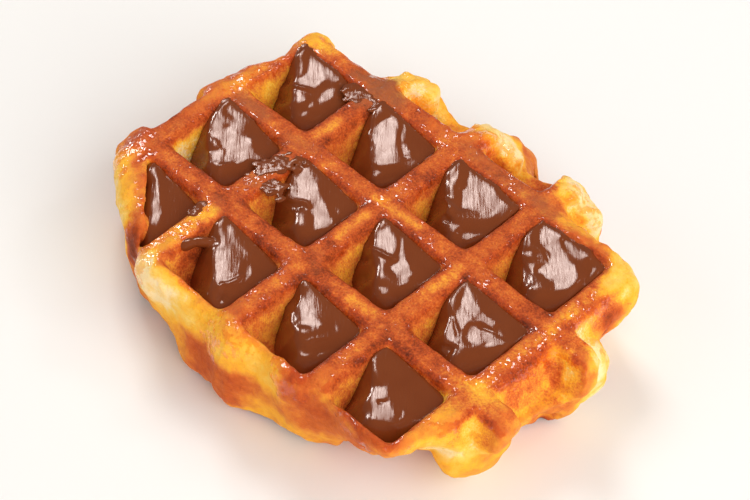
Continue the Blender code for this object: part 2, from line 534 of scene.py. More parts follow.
@dataclass
class Dough:
    """The baked dough: its outline, its relief and where it is toasted, wet or smeared."""

    iron: Iron
    browning: Browning = Browning()
    wetting: Wetting = Wetting()
    top_middle: Point = (2.0 * MM, 3.5 * MM)
    top_half: Point = (59.0 * MM, 38.5 * MM)
    bottom_middle: Point = (-2.0 * MM, 9.0 * MM)
    bottom_half: Point = (42.0 * MM, 46.5 * MM)
    squareness: float = 3.0
    rounding: float = 8.5 * MM
    rounding_power: float = 1.5
    farthest: float = 150.0 * MM
    halvings: int = 36
    segments: int = 240
    levels: int = 26
    lump_segments: int = 32
    lump_rings: int = 20
    floor_gap: float = 0.03 * MM
    voxel: float = 0.52 * MM
    kept: float = 0.56
    bulges: tuple[Bulge, ...] = (
        Bulge(139.0, 10.0 * MM, 1.5 * MM),
        Bulge(114.0, 9.0 * MM, 0.0),
        Bulge(89.0, 5.5 * MM, 9.0 * MM),
        Bulge(64.0, 8.5 * MM, 6.5 * MM),
        Bulge(36.0, 6.0 * MM, 10.5 * MM),
        Bulge(10.0, 3.0 * MM, 15.5 * MM),
        Bulge(357.0, 0.0, 6.5 * MM),
        Bulge(345.0, 3.5 * MM, 10.0 * MM),
        Bulge(322.0, 10.5 * MM, -5.0 * MM),
        Bulge(300.0, 4.0 * MM, -1.5 * MM),
        Bulge(274.0, 5.0 * MM, 2.0 * MM),
        Bulge(257.0, 1.0 * MM, 1.5 * MM),
        Bulge(239.0, 7.0 * MM, -5.0 * MM),
        Bulge(195.0, 1.0 * MM, 13.0 * MM),
        Bulge(165.0, -1.5 * MM, 9.5 * MM),
    )
    # Where one kind of place begins to fade into another, and where it is complete: by the
    # distance from the rim, from the nearer face, from a pocket's mouth, or by the height.
    free_fade: Point = (2.2 * MM, 0.4 * MM)
    face_fade: Point = (2.4 * MM, 0.6 * MM)
    middle_fade: Point = (-1.8 * MM, -3.2 * MM)
    inner_fade: Point = (0.2 * MM, 0.8 * MM)
    deep_fade: Point = (2.0 * MM, 8.0 * MM)
    foot_fade: Point = (2.2 * MM, 0.4 * MM)
    upper_fade: Point = (9.0 * MM, 17.0 * MM)
    away_fade: Point = (0.05, 0.4)
    shoulder_place: float = -0.2 * MM
    shoulder_width: float = 0.9 * MM
    # The edge of a daub, in shares of its width, and how far it wanders.
    daub_edge: Point = (1.45, 0.35)
    daub_wander: float = 0.40
    daub_fade: float = 1.5
    # Lumps, dimples, upright ripples and pores.
    reliefs: tuple[Relief, ...] = (
        Relief(0.22 * MM, 0.65 * MM, 9.0 * MM, 3.1, 3),
        Relief(0.13 * MM, 0.0, 2.6 * MM, 8.4, 2),
        Relief(0.0, 0.38 * MM, 3.4 * MM, 14.0, 2, 0.35),
        Relief(0.05 * MM, 0.0, 1.3 * MM, 51.0),
    )

    def outline(self, angle: float) -> Point:
        """Gives the dough's reach in one direction.

        Args:
            angle: the direction round the lattice's middle, in radians.

        Returns:
            The reach at the top face and at the bottom face.
        """
        reaches = []
        for middle, half in ((self.top_middle, self.top_half), (self.bottom_middle, self.bottom_half)):
            near, far = 0.0, self.farthest
            for _ in range(self.halvings):
                probe = (near + far) / 2
                along = abs((probe * math.cos(angle) - middle[0]) / half[0]) ** self.squareness
                across = abs((probe * math.sin(angle) - middle[1]) / half[1]) ** self.squareness
                near, far = (probe, far) if along + across < 1.0 else (near, probe)
            reaches.append(near)
        top, bottom = reaches
        for bulge in self.bulges:
            off = (math.degrees(angle) - bulge.direction + 180.0) % 360.0 - 180.0
            share = math.exp(-((off / bulge.spread) ** 2))
            top += bulge.top * share
            bottom += bulge.bottom * share
        return top, bottom

    def rim(self, top: np.ndarray, bottom: np.ndarray, share: np.ndarray) -> np.ndarray:
        """Gives the rounded rim's reach between the two faces.

        Args:
            top: the reach at the top face.
            bottom: the reach at the bottom face.
            share: how far up it is, from 0 to 1.

        Returns:
            The reach there.
        """
        slope = np.sqrt(np.clip(1.0 - (2.0 * share - 1.0) ** 2, 0.0, 1.0))
        return top * share + bottom * (1.0 - share) - self.rounding * (1.0 - slope) ** self.rounding_power

    def ball(self) -> bpy.types.Object:
        """Makes the dough as the iron's plates leave it, before the teeth.

        Returns:
            The crust's object.
        """
        heights = [(1.0 - math.cos(math.pi * step / self.levels)) / 2 for step in range(1, self.levels)]
        bm = drum(self.segments, heights)
        known: dict[float, Point] = {}
        for vert in bm.verts:
            angle = math.atan2(vert.co.y, vert.co.x)
            key = round(angle, 5)
            if key not in known:
                known[key] = self.outline(angle)
            top, bottom = known[key]
            share = min(max(vert.co.z, 0.0), 1.0)
            reach = self.rim(top, bottom, share)
            x = self.iron.middle_x + reach * math.cos(angle)
            y = self.iron.middle_y + reach * math.sin(angle)
            vert.co = (x, y, self.iron.thickness * share)
        return mesh_object("waffle_crust", bm)

    def press(self, crust: bpy.types.Object) -> None:
        """Sinks the iron's teeth into both faces of the dough.

        Args:
            crust: the dough, which takes the pockets.
        """
        bm = bmesh.new()
        flip = Matrix.Scale(-1.0, 4, (0.0, 0.0, 1.0))
        for row in range(-1, self.iron.rows + 1):
            for column in range(-1, self.iron.columns + 1):
                centre = self.iron.centre(column, row)
                ground = Vector((centre.x, centre.y, 0.0))
                for matrix in (Matrix.Translation(centre), Matrix.Translation(ground) @ flip):
                    tooth = self.iron.tooth(0.0, column, row)
                    tooth.transform(matrix)
                    point_outwards(tooth)
                    mesh = bpy.data.meshes.new("tooth")
                    tooth.to_mesh(mesh)
                    tooth.free()
                    bm.from_mesh(mesh)
                    bpy.data.meshes.remove(mesh)
        cut(crust, "DIFFERENCE", mesh_object("iron_teeth", bm))

    def lattice(self, points: np.ndarray) -> tuple[np.ndarray, np.ndarray]:
        """Finds each point's place in its own cell of the lattice.

        Args:
            points: the skin's points.

        Returns:
            The distances from the cell's middle along X and along Y.
        """
        x = (points[:, 0] - self.iron.middle_x) / self.iron.pitch
        y = (points[:, 1] - self.iron.middle_y) / self.iron.pitch
        across = (x % 1.0 - 0.5) * self.iron.pitch
        along = ((y + 0.5) % 1.0 - 0.5) * self.iron.pitch
        return across, along

    def free_share(self, points: np.ndarray) -> np.ndarray:
        """Tells how much each point belongs to the free rim that no plate touched.

        Args:
            points: the skin's points.

        Returns:
            A value from 0 on the pressed faces to 1 on the rim.
        """
        x = points[:, 0] - self.iron.middle_x
        y = points[:, 1] - self.iron.middle_y
        angles = np.arctan2(y, x)
        turns = np.linspace(-math.pi, math.pi, 721)
        table = np.array([self.outline(turn) for turn in turns])
        top = np.interp(angles, turns, table[:, 0])
        bottom = np.interp(angles, turns, table[:, 1])
        share = np.clip(points[:, 2] / self.iron.thickness, 0.0, 1.0)
        return smooth_step(*self.free_fade, self.rim(top, bottom, share) - np.hypot(x, y))

    def roughen(self, crust: bpy.types.Object) -> None:
        """Gives the skin the relief of baked dough, and keeps it above the floor.

        Args:
            crust: the pressed dough.
        """
        points, normals = read_points(crust.data)
        free = self.free_share(points)
        push = np.zeros(len(points))
        for relief in self.reliefs:
            squashed = points * np.array([1.0, 1.0, relief.flatten])
            height = relief.pressed + free * relief.free
            push += height * noise_at(squashed, relief.size, relief.seed, relief.octaves)
        points = points + normals * push[:, None]
        points[:, 2] = np.maximum(points[:, 2], self.floor_gap)
        write_points(crust.data, points)

    @staticmethod
    def mottled(points: np.ndarray, mottles: tuple[Mottle, ...]) -> np.ndarray:
        """Adds up noise in the paint.

        Args:
            points: the skin's points.
            mottles: the noises.

        Returns:
            Their sum at each point.
        """
        total = np.zeros(len(points))
        for mottle in mottles:
            total += mottle.amount * noise_at(points, mottle.size, mottle.seed, 2)
        return total

    def daubs(self, points: np.ndarray, daubs: tuple[Daub, ...]) -> np.ndarray:
        """Adds up soft strokes of paint.

        Args:
            points: the skin's points.
            daubs: where the strokes lie and how strong they are.

        Returns:
            The sum of the strokes at each point.
        """
        x = (points[:, 0] - self.iron.middle_x) / MM
        y = (points[:, 1] - self.iron.middle_y) / MM
        z = points[:, 2] / MM
        wander = noise_at(points, 3.2 * MM, 70.0, 2)
        total = np.zeros(len(points))
        for daub in daubs:
            line = daub.line if len(daub.line) > 1 else daub.line * 2
            distance, _, _ = distance_to_line(x, y, line)
            edge = distance + self.daub_wander * daub.width * wander
            outer, inner = (share * daub.width for share in self.daub_edge)
            level = smooth_step(daub.low - self.daub_fade, daub.low + self.daub_fade, z + wander)
            level *= smooth_step(daub.high + self.daub_fade, daub.high - self.daub_fade, z + wander)
            total += daub.amount * smooth_step(outer, inner, edge) * level
        return total

    def paint(self, crust: bpy.types.Object) -> None:
        """Stores the toast with its painted light and shade, the glaze, the films of spread and the plates'
        contact.

        Args:
            crust: the finished skin, which takes them as attributes.
        """
        points, normals = read_points(crust.data)
        free = self.free_share(points)
        across, along = self.lattice(points)
        wall = self.iron.half_mouth - np.maximum(np.abs(across), np.abs(along))
        from_face = np.minimum(points[:, 2], self.iron.thickness - points[:, 2])
        face = smooth_step(*self.face_fade, from_face)
        shoulder = np.exp(-(((wall - self.shoulder_place) / self.shoulder_width) ** 2)) * face
        middle = smooth_step(*self.middle_fade, wall) * face
        inner = smooth_step(*self.inner_fade, wall) * (1.0 - free)
        deep = inner * smooth_step(*self.deep_fade, from_face)
        foot = smooth_step(*self.foot_fade, points[:, 2])
        upper = smooth_step(*self.upper_fade, points[:, 2])
        away = smooth_step(*self.away_fade, np.clip(-normals[:, 1], 0.0, 1.0) * shoulder)

        brown = self.browning
        toast = brown.plain + brown.shoulder * shoulder + brown.middle * middle
        # Paler pocket walls and floors: pale dough and painted light against the pockets' shade.
        toast += brown.wall * inner + brown.floor * deep
        toast += brown.free * free * (1.0 - brown.free_kept_on_face * face) + brown.foot * free * foot
        toast += self.mottled(points, brown.mottles) + self.daubs(points, TOAST_AND_SHADING_DAUBS)

        wet = self.wetting
        glaze = wet.plain + wet.shoulder_away * away + wet.shoulder * shoulder + wet.free * free
        glaze += wet.floor * deep + wet.low_free * free * (1.0 - upper)
        glaze += self.mottled(points, wet.mottles) + self.daubs(points, GLAZE_DAUBS)

        film = self.daubs(points, FILM_DAUBS)
        layers = {"toast": toast, "glaze": glaze, "film": film, "contact": 1.0 - free}
        for name, values in layers.items():
            write_attribute(crust.data, name, np.clip(values, 0.0, 1.0))

    def add_lumps(self, crust: bpy.types.Object) -> None:
        """Adds the knobs of dough as closed balls.

        Args:
            crust: the pressed dough, which takes them.
        """
        bm = bmesh.new()
        for lump in LUMPS:
            x = lump.x * MM + self.iron.middle_x
            y = lump.y * MM + self.iron.middle_y
            place = Matrix.Translation((x, y, lump.z * MM))
            turn = Matrix.Rotation(math.radians(lump.turn), 4, "Z")
            size = Matrix.Diagonal((lump.along * MM, lump.across * MM, lump.tall * MM, 1.0))
            add_ball(bm, self.lump_segments, self.lump_rings, place @ turn @ size, lump.power)
        melt_in(crust, bm)

    def build(self) -> bpy.types.Object:
        """Makes the whole crust.

        Returns:
            The crust's object, painted and ready for its material.
        """
        crust = self.ball()
        self.press(crust)
        self.add_lumps(crust)
        redraw(crust, self.voxel, 3)
        self.roughen(crust)
        apply_modifier(crust, "DECIMATE", {"ratio": self.kept})
        self.paint(crust)
        return crust


# The knobs that stand out round the rim, from the back corner clockwise as the camera sees it.
LUMPS = (
    Lump(-45.0, 36.5, 20.0, 4.2, 4.2, 4.0, 20.0, 3.0),
    Lump(-20.0, 44.0, 20.0, 5.2, 3.2, 4.0, 15.0, 4.0),
    Lump(2.0, 46.5, 16.0, 7.4, 3.6, 4.6, -10.0, 3.5),
    Lump(28.0, 45.5, 15.0, 5.6, 4.0, 5.4, -25.0, 4.0),
    Lump(53.0, 16.0, 11.5, 6.0, 7.0, 8.0),
    Lump(50.0, -13.0, 12.0, 6.5, 9.5, 8.5, -8.0),
    Lump(-33.0, -28.0, 20.5, 3.4, 2.6, 3.0, -35.0),
)
TOAST_AND_SHADING_DAUBS = (
    # Pale and yellow dough that no plate touched; along the bottom edge and on some pocket walls the
    # paleness is also painted light.
    Daub(((-46.0, 38.0), (-42.0, 40.0)), 4.5, -0.34),
    Daub(((-22.0, 42.5), (-17.0, 46.0)), 5.4, -0.42),
    Daub(((-5.0, 47.0), (10.0, 48.0)), 5.5, -0.46, 15.0),
    Daub(((24.0, 46.0), (32.0, 46.0)), 5.0, -0.48, 14.0),
    Daub(((43.0, 41.0), (48.0, 36.0), (49.5, 31.5)), 4.6, -0.42),
    Daub(((30.0, 37.0), (38.0, 38.0)), 2.5, -0.20, 20.0),
    Daub(((53.0, 12.5), (55.0, 15.0), (54.0, 17.5)), 6.2, -0.48, 3.0, 24.0),
    Daub(((47.5, -10.0), (47.5, 24.0)), 2.2, -0.10, 22.0),
    Daub(((43.0, -30.0), (47.0, -20.0), (49.0, -12.0)), 5.5, -0.20, 14.0),
    Daub(((26.0, -37.0), (40.0, -36.0)), 4.0, 0.08, 8.0, 22.0),
    Daub(((50.0, -6.0), (50.0, -18.0)), 7.0, -0.22, 2.0, 18.0),
    # Paler along the bottom edge: pale dough, with painted light from the bright floor.
    Daub(((50.0, -12.0), (44.0, -24.0), (36.0, -36.0)), 7.0, -0.18, -3.0, 7.0),
    Daub(((52.0, -12.0), (50.0, -20.0), (40.0, -34.0)), 6.0, -0.12, 14.0, 23.0),
    Daub(((-50.0, -20.0), (-40.0, -29.0)), 5.0, -0.36, 7.0, 28.0),
    Daub(((-25.0, -17.0), (-25.0, -36.0)), 3.6, -0.30, 17.0),
    Daub(((-26.0, -37.0), (-12.0, -37.0), (2.0, -37.0), (14.0, -36.0)), 4.2, -0.26, 15.0),
    Daub(((-26.0, -40.0), (-14.0, -40.0)), 6.0, -0.24, 2.0),
    Daub(((14.0, -38.0), (30.0, -37.0)), 6.0, -0.20, -3.0, 10.0),
    # Paler walls of the left pockets: pale dough, with painted light.
    Daub(((-41.0, 20.0), (-45.0, 15.0)), 4.0, -0.17, 10.0),
    Daub(((-44.6, -8.0), (-44.2, -2.0)), 3.2, -0.09, 11.0, 23.5),
    Daub(((-46.0, -4.0), (-44.0, -9.0)), 3.5, -0.30, 8.0, 22.0),
    # Paler along the bottom edge: pale dough, with painted light from the bright floor.
    Daub(((0.0, -44.0), (20.0, -42.0), (40.0, -36.0)), 8.0, -0.20, -3.0, 4.0),
    # Light streaks along the middle of some bars.
    Daub(((-24.0, 16.0), (-24.0, 22.0)), 1.4, -0.20, 23.0),
    Daub(((-2.0, 12.0), (10.0, 12.0)), 1.2, -0.20, 23.0),
    Daub(((0.0, -2.0), (0.0, 8.0)), 1.2, -0.20, 23.0),
    Daub(((14.0, -12.0), (20.0, -12.0)), 1.4, -0.20, 23.0),
    Daub(((0.0, -22.0), (0.0, -14.0)), 1.6, -0.16, 23.0),
    Daub(((24.0, -24.0), (24.0, -16.0)), 1.4, -0.16, 23.0),
    Daub(((24.0, 2.0), (24.0, 10.0)), 1.4, -0.18, 23.0),
    # Browner places: the long lower side, the valleys between the knobs and the thin front rim; in the
    # valleys the darkening is toast and painted shade.
    Daub(((-10.0, -38.0), (0.0, -40.0), (7.0, -39.0)), 5.5, 0.12, 4.0, 17.0),
    Daub(((20.0, -36.0), (29.0, -36.0)), 2.6, 0.14, 17.0, 28.0),
    # Darker down a pocket's left wall, below its top: toast and painted shade.
    Daub(((-21.0, -27.0), (-21.0, -20.0)), 3.5, 0.30, 10.0, 22.0),
    Daub(((40.0, -36.0), (44.0, -32.0)), 3.0, 0.20, 8.0),
    # Darker in the valley at a knob's foot: toast and painted shade.
    Daub(((48.5, 7.0), (54.0, 7.4)), 1.5, 0.42, 5.0, 22.5),
    Daub(((1.0, -18.0), (3.0, -13.0), (8.0, -13.5)), 1.5, 0.10, 20.0),
    Daub(((25.0, -19.0), (26.0, -13.0), (31.0, -13.5)), 1.6, 0.08, 20.0),
    Daub(((48.0, -3.0), (48.0, 3.0)), 2.0, 0.18, 15.0, 22.0),
    Daub(((49.5, 21.5), (49.8, 28.0)), 4.0, 0.40, 5.0, 21.5),
    Daub(((-33.0, -32.0), (-28.0, -35.0)), 3.2, 0.30, 12.0),
    Daub(((-52.0, -13.0), (-50.0, -17.0)), 2.0, 0.10, 19.0),
    # Darker in the valleys between the back knobs: toast and painted shade.
    Daub(((12.0, 45.0), (18.0, 45.0)), 3.0, 0.26, 8.0, 22.0),
    Daub(((4.0, 42.0), (10.0, 42.0)), 1.8, 0.26, 15.0, 22.0),
    # Paler along the upper left rim: pale dough and a painted sheen.
    Daub(((-48.0, 8.0), (-47.0, 22.0), (-45.0, 32.0)), 4.0, -0.07, 18.0),
)
GLAZE_DAUBS = (
    Daub(((8.0, -39.0), (30.0, -37.0)), 6.0, -0.30, -3.0, 19.0),
    Daub(((-26.0, -36.0), (-14.0, -36.0), (2.0, -36.0), (22.0, -36.0)), 4.0, 0.20, 14.0),
    Daub(((-25.0, -16.0), (-25.0, -36.0)), 3.5, 0.16, 18.0),
    Daub(((-18.0, -37.0), (-9.0, -37.0)), 4.0, -0.30, 12.0),
    Daub(((-50.0, -14.0), (-51.0, -19.0)), 4.0, 0.25, 16.0),
    Daub(((-23.0, -5.0), (-23.0, 3.0)), 3.0, 0.30, 18.0),
    Daub(((46.0, -10.0), (50.0, 0.0), (50.0, 12.0)), 3.0, 0.32, 17.0),
    Daub(((50.0, 12.0), (50.0, 24.0)), 3.0, 0.30, 17.0),
    Daub(((26.0, -37.0), (40.0, -35.0)), 3.0, 0.12, 14.0),
    Daub(((0.0, 44.0), (16.0, 44.0)), 4.0, 0.35),
    Daub(((28.0, 45.0),), 4.0, 0.35),
    Daub(((-49.0, 8.0), (-48.0, 24.0), (-44.0, 34.0)), 3.0, 0.20, 16.0),
    Daub(((0.0, 24.0), (0.0, 12.0)), 3.0, 0.15, 20.0),
)
# Thin films of spread that the spoon wiped over the bars.
FILM_DAUBS = (
    Daub(((-30.0, 37.0), (-24.0, 38.0), (-19.0, 36.0)), 3.4, 0.95, 22.5),
    Daub(((-24.0, 30.0), (-24.0, 36.0)), 2.6, 0.8, 22.5),
    Daub(((-44.0, 11.5), (-36.0, 12.0)), 2.2, 0.8, 22.5),
    Daub(((2.0, 36.5), (14.0, 36.0), (28.0, 36.5)), 2.6, 0.62, 22.5),
    Daub(((24.0, 29.0), (24.0, 36.0)), 2.2, 0.22, 22.5),
    Daub(((-24.0, 4.0), (-23.5, -4.0)), 3.0, 0.75, 22.5),
    Daub(((-28.0, 10.0), (-22.0, 12.0)), 2.4, 0.55, 22.5),
    Daub(((22.0, -13.0), (27.0, -11.0)), 2.2, 0.3, 22.5),
    Daub(((0.0, -8.0), (3.0, -12.0)), 1.6, 0.45, 22.5),
    Daub(((-26.0, -13.0), (-22.0, -15.0)), 2.0, 0.5, 22.5),
)


def new_material(name: str) -> tuple[bpy.types.Material, bpy.types.NodeTree, bpy.types.Node]:
    """Makes a material with one Principled shader.

    Args:
        name: the material's name.

    Returns:
        The material, its node tree and the shader.
    """
    material = bpy.data.materials.new(name)
    material.use_nodes = True
    return material, material.node_tree, material.node_tree.nodes["Principled BSDF"]


def set_inputs(node: bpy.types.Node, values: dict) -> None:
    """Sets a node's inputs, each by its name."""
    for name, value in values.items():
        node.inputs[name].default_value = value


@dataclass(frozen=True)
class Speckle:
    """A noise in a material: its lumps' size in millimetres, its finer layers and its swing."""

    size_mm: float
    detail: float
    swing: float = 0.0

    def height(self, tree: bpy.types.NodeTree, place: Socket) -> Socket:
        """Adds the plain noise, whose values lie mostly from a quarter to three quarters.

        Object coordinates are in metres, so lumps of S mm have a scale of 1000 / S.

        Args:
            tree: the material's node tree.
            place: the socket of the Object coordinates.

        Returns:
            The socket of the noise.
        """
        settings = {"Scale": 1000.0 / self.size_mm, "Detail": self.detail, "Roughness": 0.6}
        return add_node(tree, "ShaderNodeTexNoise", settings, {"Vector": place}).outputs["Fac"]

    def shift(self, tree: bpy.types.NodeTree, place: Socket) -> Socket:
        """Adds the noise spread round 0, as far as its swing.

        Args:
            tree: the material's node tree.
            place: the socket of the Object coordinates.

        Returns:
            The socket of the spread value.
        """
        ends = {"From Min": 0.25, "From Max": 0.75, "To Min": -self.swing, "To Max": self.swing}
        links = {0: self.height(tree, place)}
        return add_node(tree, "ShaderNodeMapRange", {**ends, "clamp": False}, links).outputs[0]


@dataclass(frozen=True)
class ToastedCrust:
    """Baked yeast dough pressed in a hot iron, with pearl sugar melted over it.

    It gives a mottled orange-brown skin with a fine toasted grain, smooth and yellow where
    the dough was free, under a thin wet glaze that breaks into small white glints.
    """

    # From pale dough to burnt sugar.
    stops: tuple[tuple[float, str], ...] = (
        (0.00, "FFE0A8"),
        (0.14, "FFCC60"),
        (0.28, "FFB636"),
        (0.42, "EE9838"),
        (0.56, "DA7030"),
        (0.71, "BE5224"),
        (0.86, "8C3A1A"),
        (1.00, "50200E"),
    )
    film: str = "A65B36"
    film_raggedness: float = 4.0
    syrup: str = "FFE6C0"
    mottle: Speckle = Speckle(4.2, 4.0, 0.11)
    blotch: Speckle = Speckle(1.7, 3.0, 0.07)
    grain: Speckle = Speckle(0.45, 2.0, 0.10)
    # How much of the mottle and the grain is left on dough that no plate touched.
    free_mottle: float = 0.35
    free_grain: float = 0.25
    wetness: Speckle = Speckle(1.7, 3.0, 0.32)
    grain_relief: Speckle = Speckle(0.45, 3.0)
    blotch_relief: Speckle = Speckle(1.7, 2.0)
    run_relief: Speckle = Speckle(2.4, 1.5)
    bead_mm: float = 1.3

    def colour(self, tree: bpy.types.NodeTree, place: Socket, skin: dict[str, Socket]) -> Socket:
        """Works out the crust's colour, from pale dough to burnt sugar, with the films on it.

        Args:
            tree: the material's node tree.
            place: the socket of the Object coordinates.
            skin: the sockets of the skin's attributes.

        Returns:
            The socket of the colour.
        """
        toast = skin["toast"]
        for speckle, left in ((self.mottle, self.free_mottle), (self.grain, self.free_grain)):
            share = add_node(tree, "ShaderNodeMath", {"operation": "ADD", 1: left}, {0: skin["contact"]})
            links = {0: speckle.shift(tree, place), 1: share.outputs[0], 2: toast}
            toast = add_node(tree, "ShaderNodeMath", {"operation": "MULTIPLY_ADD"}, links).outputs[0]
        blotch = self.blotch.shift(tree, place)
        toast = add_node(tree, "ShaderNodeMath", {"operation": "ADD"}, {0: toast, 1: blotch}).outputs[0]
        ramp = add_node(tree, "ShaderNodeValToRGB", links={"Fac": toast})
        elements = ramp.color_ramp.elements
        while len(elements) < len(self.stops):
            elements.new(0.5)
        for element, (position, colour) in zip(elements, self.stops):
            element.position = position
            element.color = linear(colour)
        ragged = add_node(
            tree,
            "ShaderNodeMath",
            {"operation": "MULTIPLY_ADD", 1: self.film_raggedness},
            {0: blotch, 2: skin["film"]},
        )
        links = {0: ragged.outputs[0], 1: skin["film"]}
        film = add_node(tree, "ShaderNodeMath", {"operation": "MULTIPLY"}, links)
        mix = add_node(
            tree,
            "ShaderNodeMix",
            {"data_type": "RGBA", 7: linear(self.film)},
            {0: film.outputs[0], 6: ramp.outputs["Color"]},
        )
        return mix.outputs[2]

    def material(self) -> bpy.types.Material:
        """Makes the crust's material from the skin's attributes and its Object coordinates.

        Returns:
            The material.
        """
        material, tree, shader = new_material("toasted_crust")
        place = add_node(tree, "ShaderNodeTexCoord").outputs["Object"]
        skin = {
            name: add_node(tree, "ShaderNodeAttribute", {"attribute_name": name}).outputs["Fac"]
            for name in ("toast", "glaze", "film", "contact")
        }
        tree.links.new(self.colour(tree, place, skin), shader.inputs["Base Color"])

        links = {0: skin["glaze"], 1: self.wetness.shift(tree, place)}
        wet = add_node(tree, "ShaderNodeMath", {"operation": "ADD"}, links).outputs[0]
        coat = {"From Min": 0.42, "From Max": 0.52, "To Min": 0.0, "To Max": 1.0}
        dull = {"From Min": 0.1, "From Max": 0.8, "To Min": 0.62, "To Max": 0.42}
        for name, ends in (("Coat Weight", coat), ("Roughness", dull)):
            share = add_node(tree, "ShaderNodeMapRange", ends, {0: wet})
            tree.links.new(share.outputs[0], shader.inputs[name])
        set_inputs(
            shader,
            {
                "Coat Roughness": 0.04,
                "Coat IOR": 1.56,
                "Coat Tint": linear(self.syrup),
                "Specular IOR Level": 0.12,
                "IOR": 1.45,
                "Subsurface Weight": 0.15,
                "Subsurface Radius": (1.0, 0.40, 0.08),
                "Subsurface Scale": 2.0 * MM,
            },
        )

        grain = {"Height": self.grain_relief.height(tree, place)}
        fine = add_node(tree, "ShaderNodeBump", {"Strength": 0.9, "Distance": 0.26 * MM}, grain)
        blotch = {"Height": self.blotch_relief.height(tree, place), "Normal": fine.outputs["Normal"]}
        soft = add_node(tree, "ShaderNodeBump", {"Strength": 0.7, "Distance": 0.6 * MM}, blotch)
        tree.links.new(soft.outputs["Normal"], shader.inputs["Normal"])
        runs = {"Height": self.run_relief.height(tree, place)}
        flow = add_node(tree, "ShaderNodeBump", {"Strength": 1.0, "Distance": 0.5 * MM}, runs)
        cells = {"feature": "SMOOTH_F1", "Scale": 1000.0 / self.bead_mm, "Smoothness": 0.35}
        beads = add_node(tree, "ShaderNodeTexVoronoi", cells, {"Vector": place})
        sugar = {"Strength": 1.0, "Distance": 0.28 * MM, "invert": True}
        links = {"Height": beads.outputs["Distance"], "Normal": flow.outputs["Normal"]}
        glints = add_node(tree, "ShaderNodeBump", sugar, links)
        tree.links.new(glints.outputs["Normal"], shader.inputs["Coat Normal"])
        return material


@dataclass(frozen=True)
class SoftChocolate:
    """Hazelnut chocolate spread, stirred smooth and dropped from a spoon.

    It gives a plain warm brown with a wet gloss, so its folds show as broad pale
    reflections of the lamp with sharp edges.
    """

    body: str = "7B3C1C"
    deep: str = "6F3214"
    sheen: str = "FFECE2"
    gloss: float = 0.15
    cloud_mm: float = 6.0
    # The spoon was drawn along the pocket's diagonal, so its streaks are long that way.
    streak_turn: float = -45.0
    streak_stretch: tuple[float, float, float] = (8.0, 1.0, 2.5)
    streak_mm: float = 0.5
    streak_depth: float = 0.055 * MM

    def material(self) -> bpy.types.Material:
        """Makes the spread's material.

        Returns:
            The material.
        """
        material, tree, shader = new_material("soft_chocolate_spread")
        place = add_node(tree, "ShaderNodeTexCoord").outputs["Object"]
        clouds = {"Scale": 1000.0 / self.cloud_mm, "Detail": 2.0}
        cloud = add_node(tree, "ShaderNodeTexNoise", clouds, {"Vector": place})
        browns = {"data_type": "RGBA", 6: linear(self.deep), 7: linear(self.body)}
        colour = add_node(tree, "ShaderNodeMix", browns, {0: cloud.outputs["Fac"]})
        tree.links.new(colour.outputs[2], shader.inputs["Base Color"])
        turn = {
            "vector_type": "TEXTURE",
            "Rotation": (0.0, 0.0, math.radians(self.streak_turn)),
            "Scale": self.streak_stretch,
        }
        turned = add_node(tree, "ShaderNodeMapping", turn, {"Vector": place})
        fine = {"Scale": 1000.0 / self.streak_mm, "Detail": 3.0}
        streaks = add_node(tree, "ShaderNodeTexNoise", fine, {"Vector": turned.outputs[0]})
        depth = {"Strength": 1.0, "Distance": self.streak_depth}
        bump = add_node(tree, "ShaderNodeBump", depth, {"Height": streaks.outputs["Fac"]})
        tree.links.new(bump.outputs["Normal"], shader.inputs["Normal"])
        set_inputs(shader, {"Roughness": self.gloss, "Specular Tint": linear(self.sheen), "IOR": 1.45})
        return material


@dataclass(frozen=True)
class Facet:
    """A part of a dollop's skin that was drawn flat by the spoon and faces the lamp.

    The outline's points are (right, down) in millimetres from the pocket's middle, as they
    look from above the waffle's front corner.
    """

    outline: Line
    amount: float = 1.0


def facet(*outline: Point, amount: float = 1.0) -> Facet:
    """Makes a facet from the points of its outline."""
    return Facet(outline, amount)


@dataclass(frozen=True)
class Lip:
    """A rolled edge of spread along a line, or a crease where the height is below 0.

    The line's points are (right, down) in millimetres, as in a facet. The lip is steep on the
    right hand side of its line.
    """

    line: Line
    height: float
    width: float
    steep: float = 0.4


@dataclass(frozen=True)
class Dent:
    """A round hollow, or a swelling where the depth is below 0, in millimetres."""

    right: float
    down: float
    radius: float
    depth: float


@dataclass(frozen=True)
class Strand:
    """A string of spread from one (right, down, height) to another, in millimetres."""

    start: tuple[float, float, float]
    end: tuple[float, float, float]
    radius: float


@dataclass(frozen=True)
class Smear:
    """Spread wiped along a line over a bar, as many small lumps, in millimetres."""

    line: Line
    width: float
    size: float
    count: int
    height: float = 0.0


@dataclass(frozen=True)
class Ripple:
    """Noise on a dollop: how strong it is, and its size across and down in millimetres."""

    amount: float
    across: float
    along: float


def depth_inside(right: np.ndarray, down: np.ndarray, outline: Line) -> np.ndarray:
    """Measures how far each point lies inside a closed outline.

    Args:
        right: the points' places across.
        down: the points' places down.
        outline: the corners of the outline.

    Returns:
        The distance to the outline, below 0 for a point outside it.
    """
    closed = outline + outline[:1]
    distance, _, _ = distance_to_line(right, down, closed)
    inside = np.zeros(right.shape, bool)
    for (x_0, y_0), (x_1, y_1) in zip(closed, closed[1:]):
        if y_0 == y_1:
            continue
        crossing = (x_1 - x_0) * (down - y_0) / (y_1 - y_0) + x_0
        inside ^= ((y_0 > down) != (y_1 > down)) & (right < crossing)
    return np.where(inside, distance, -distance)


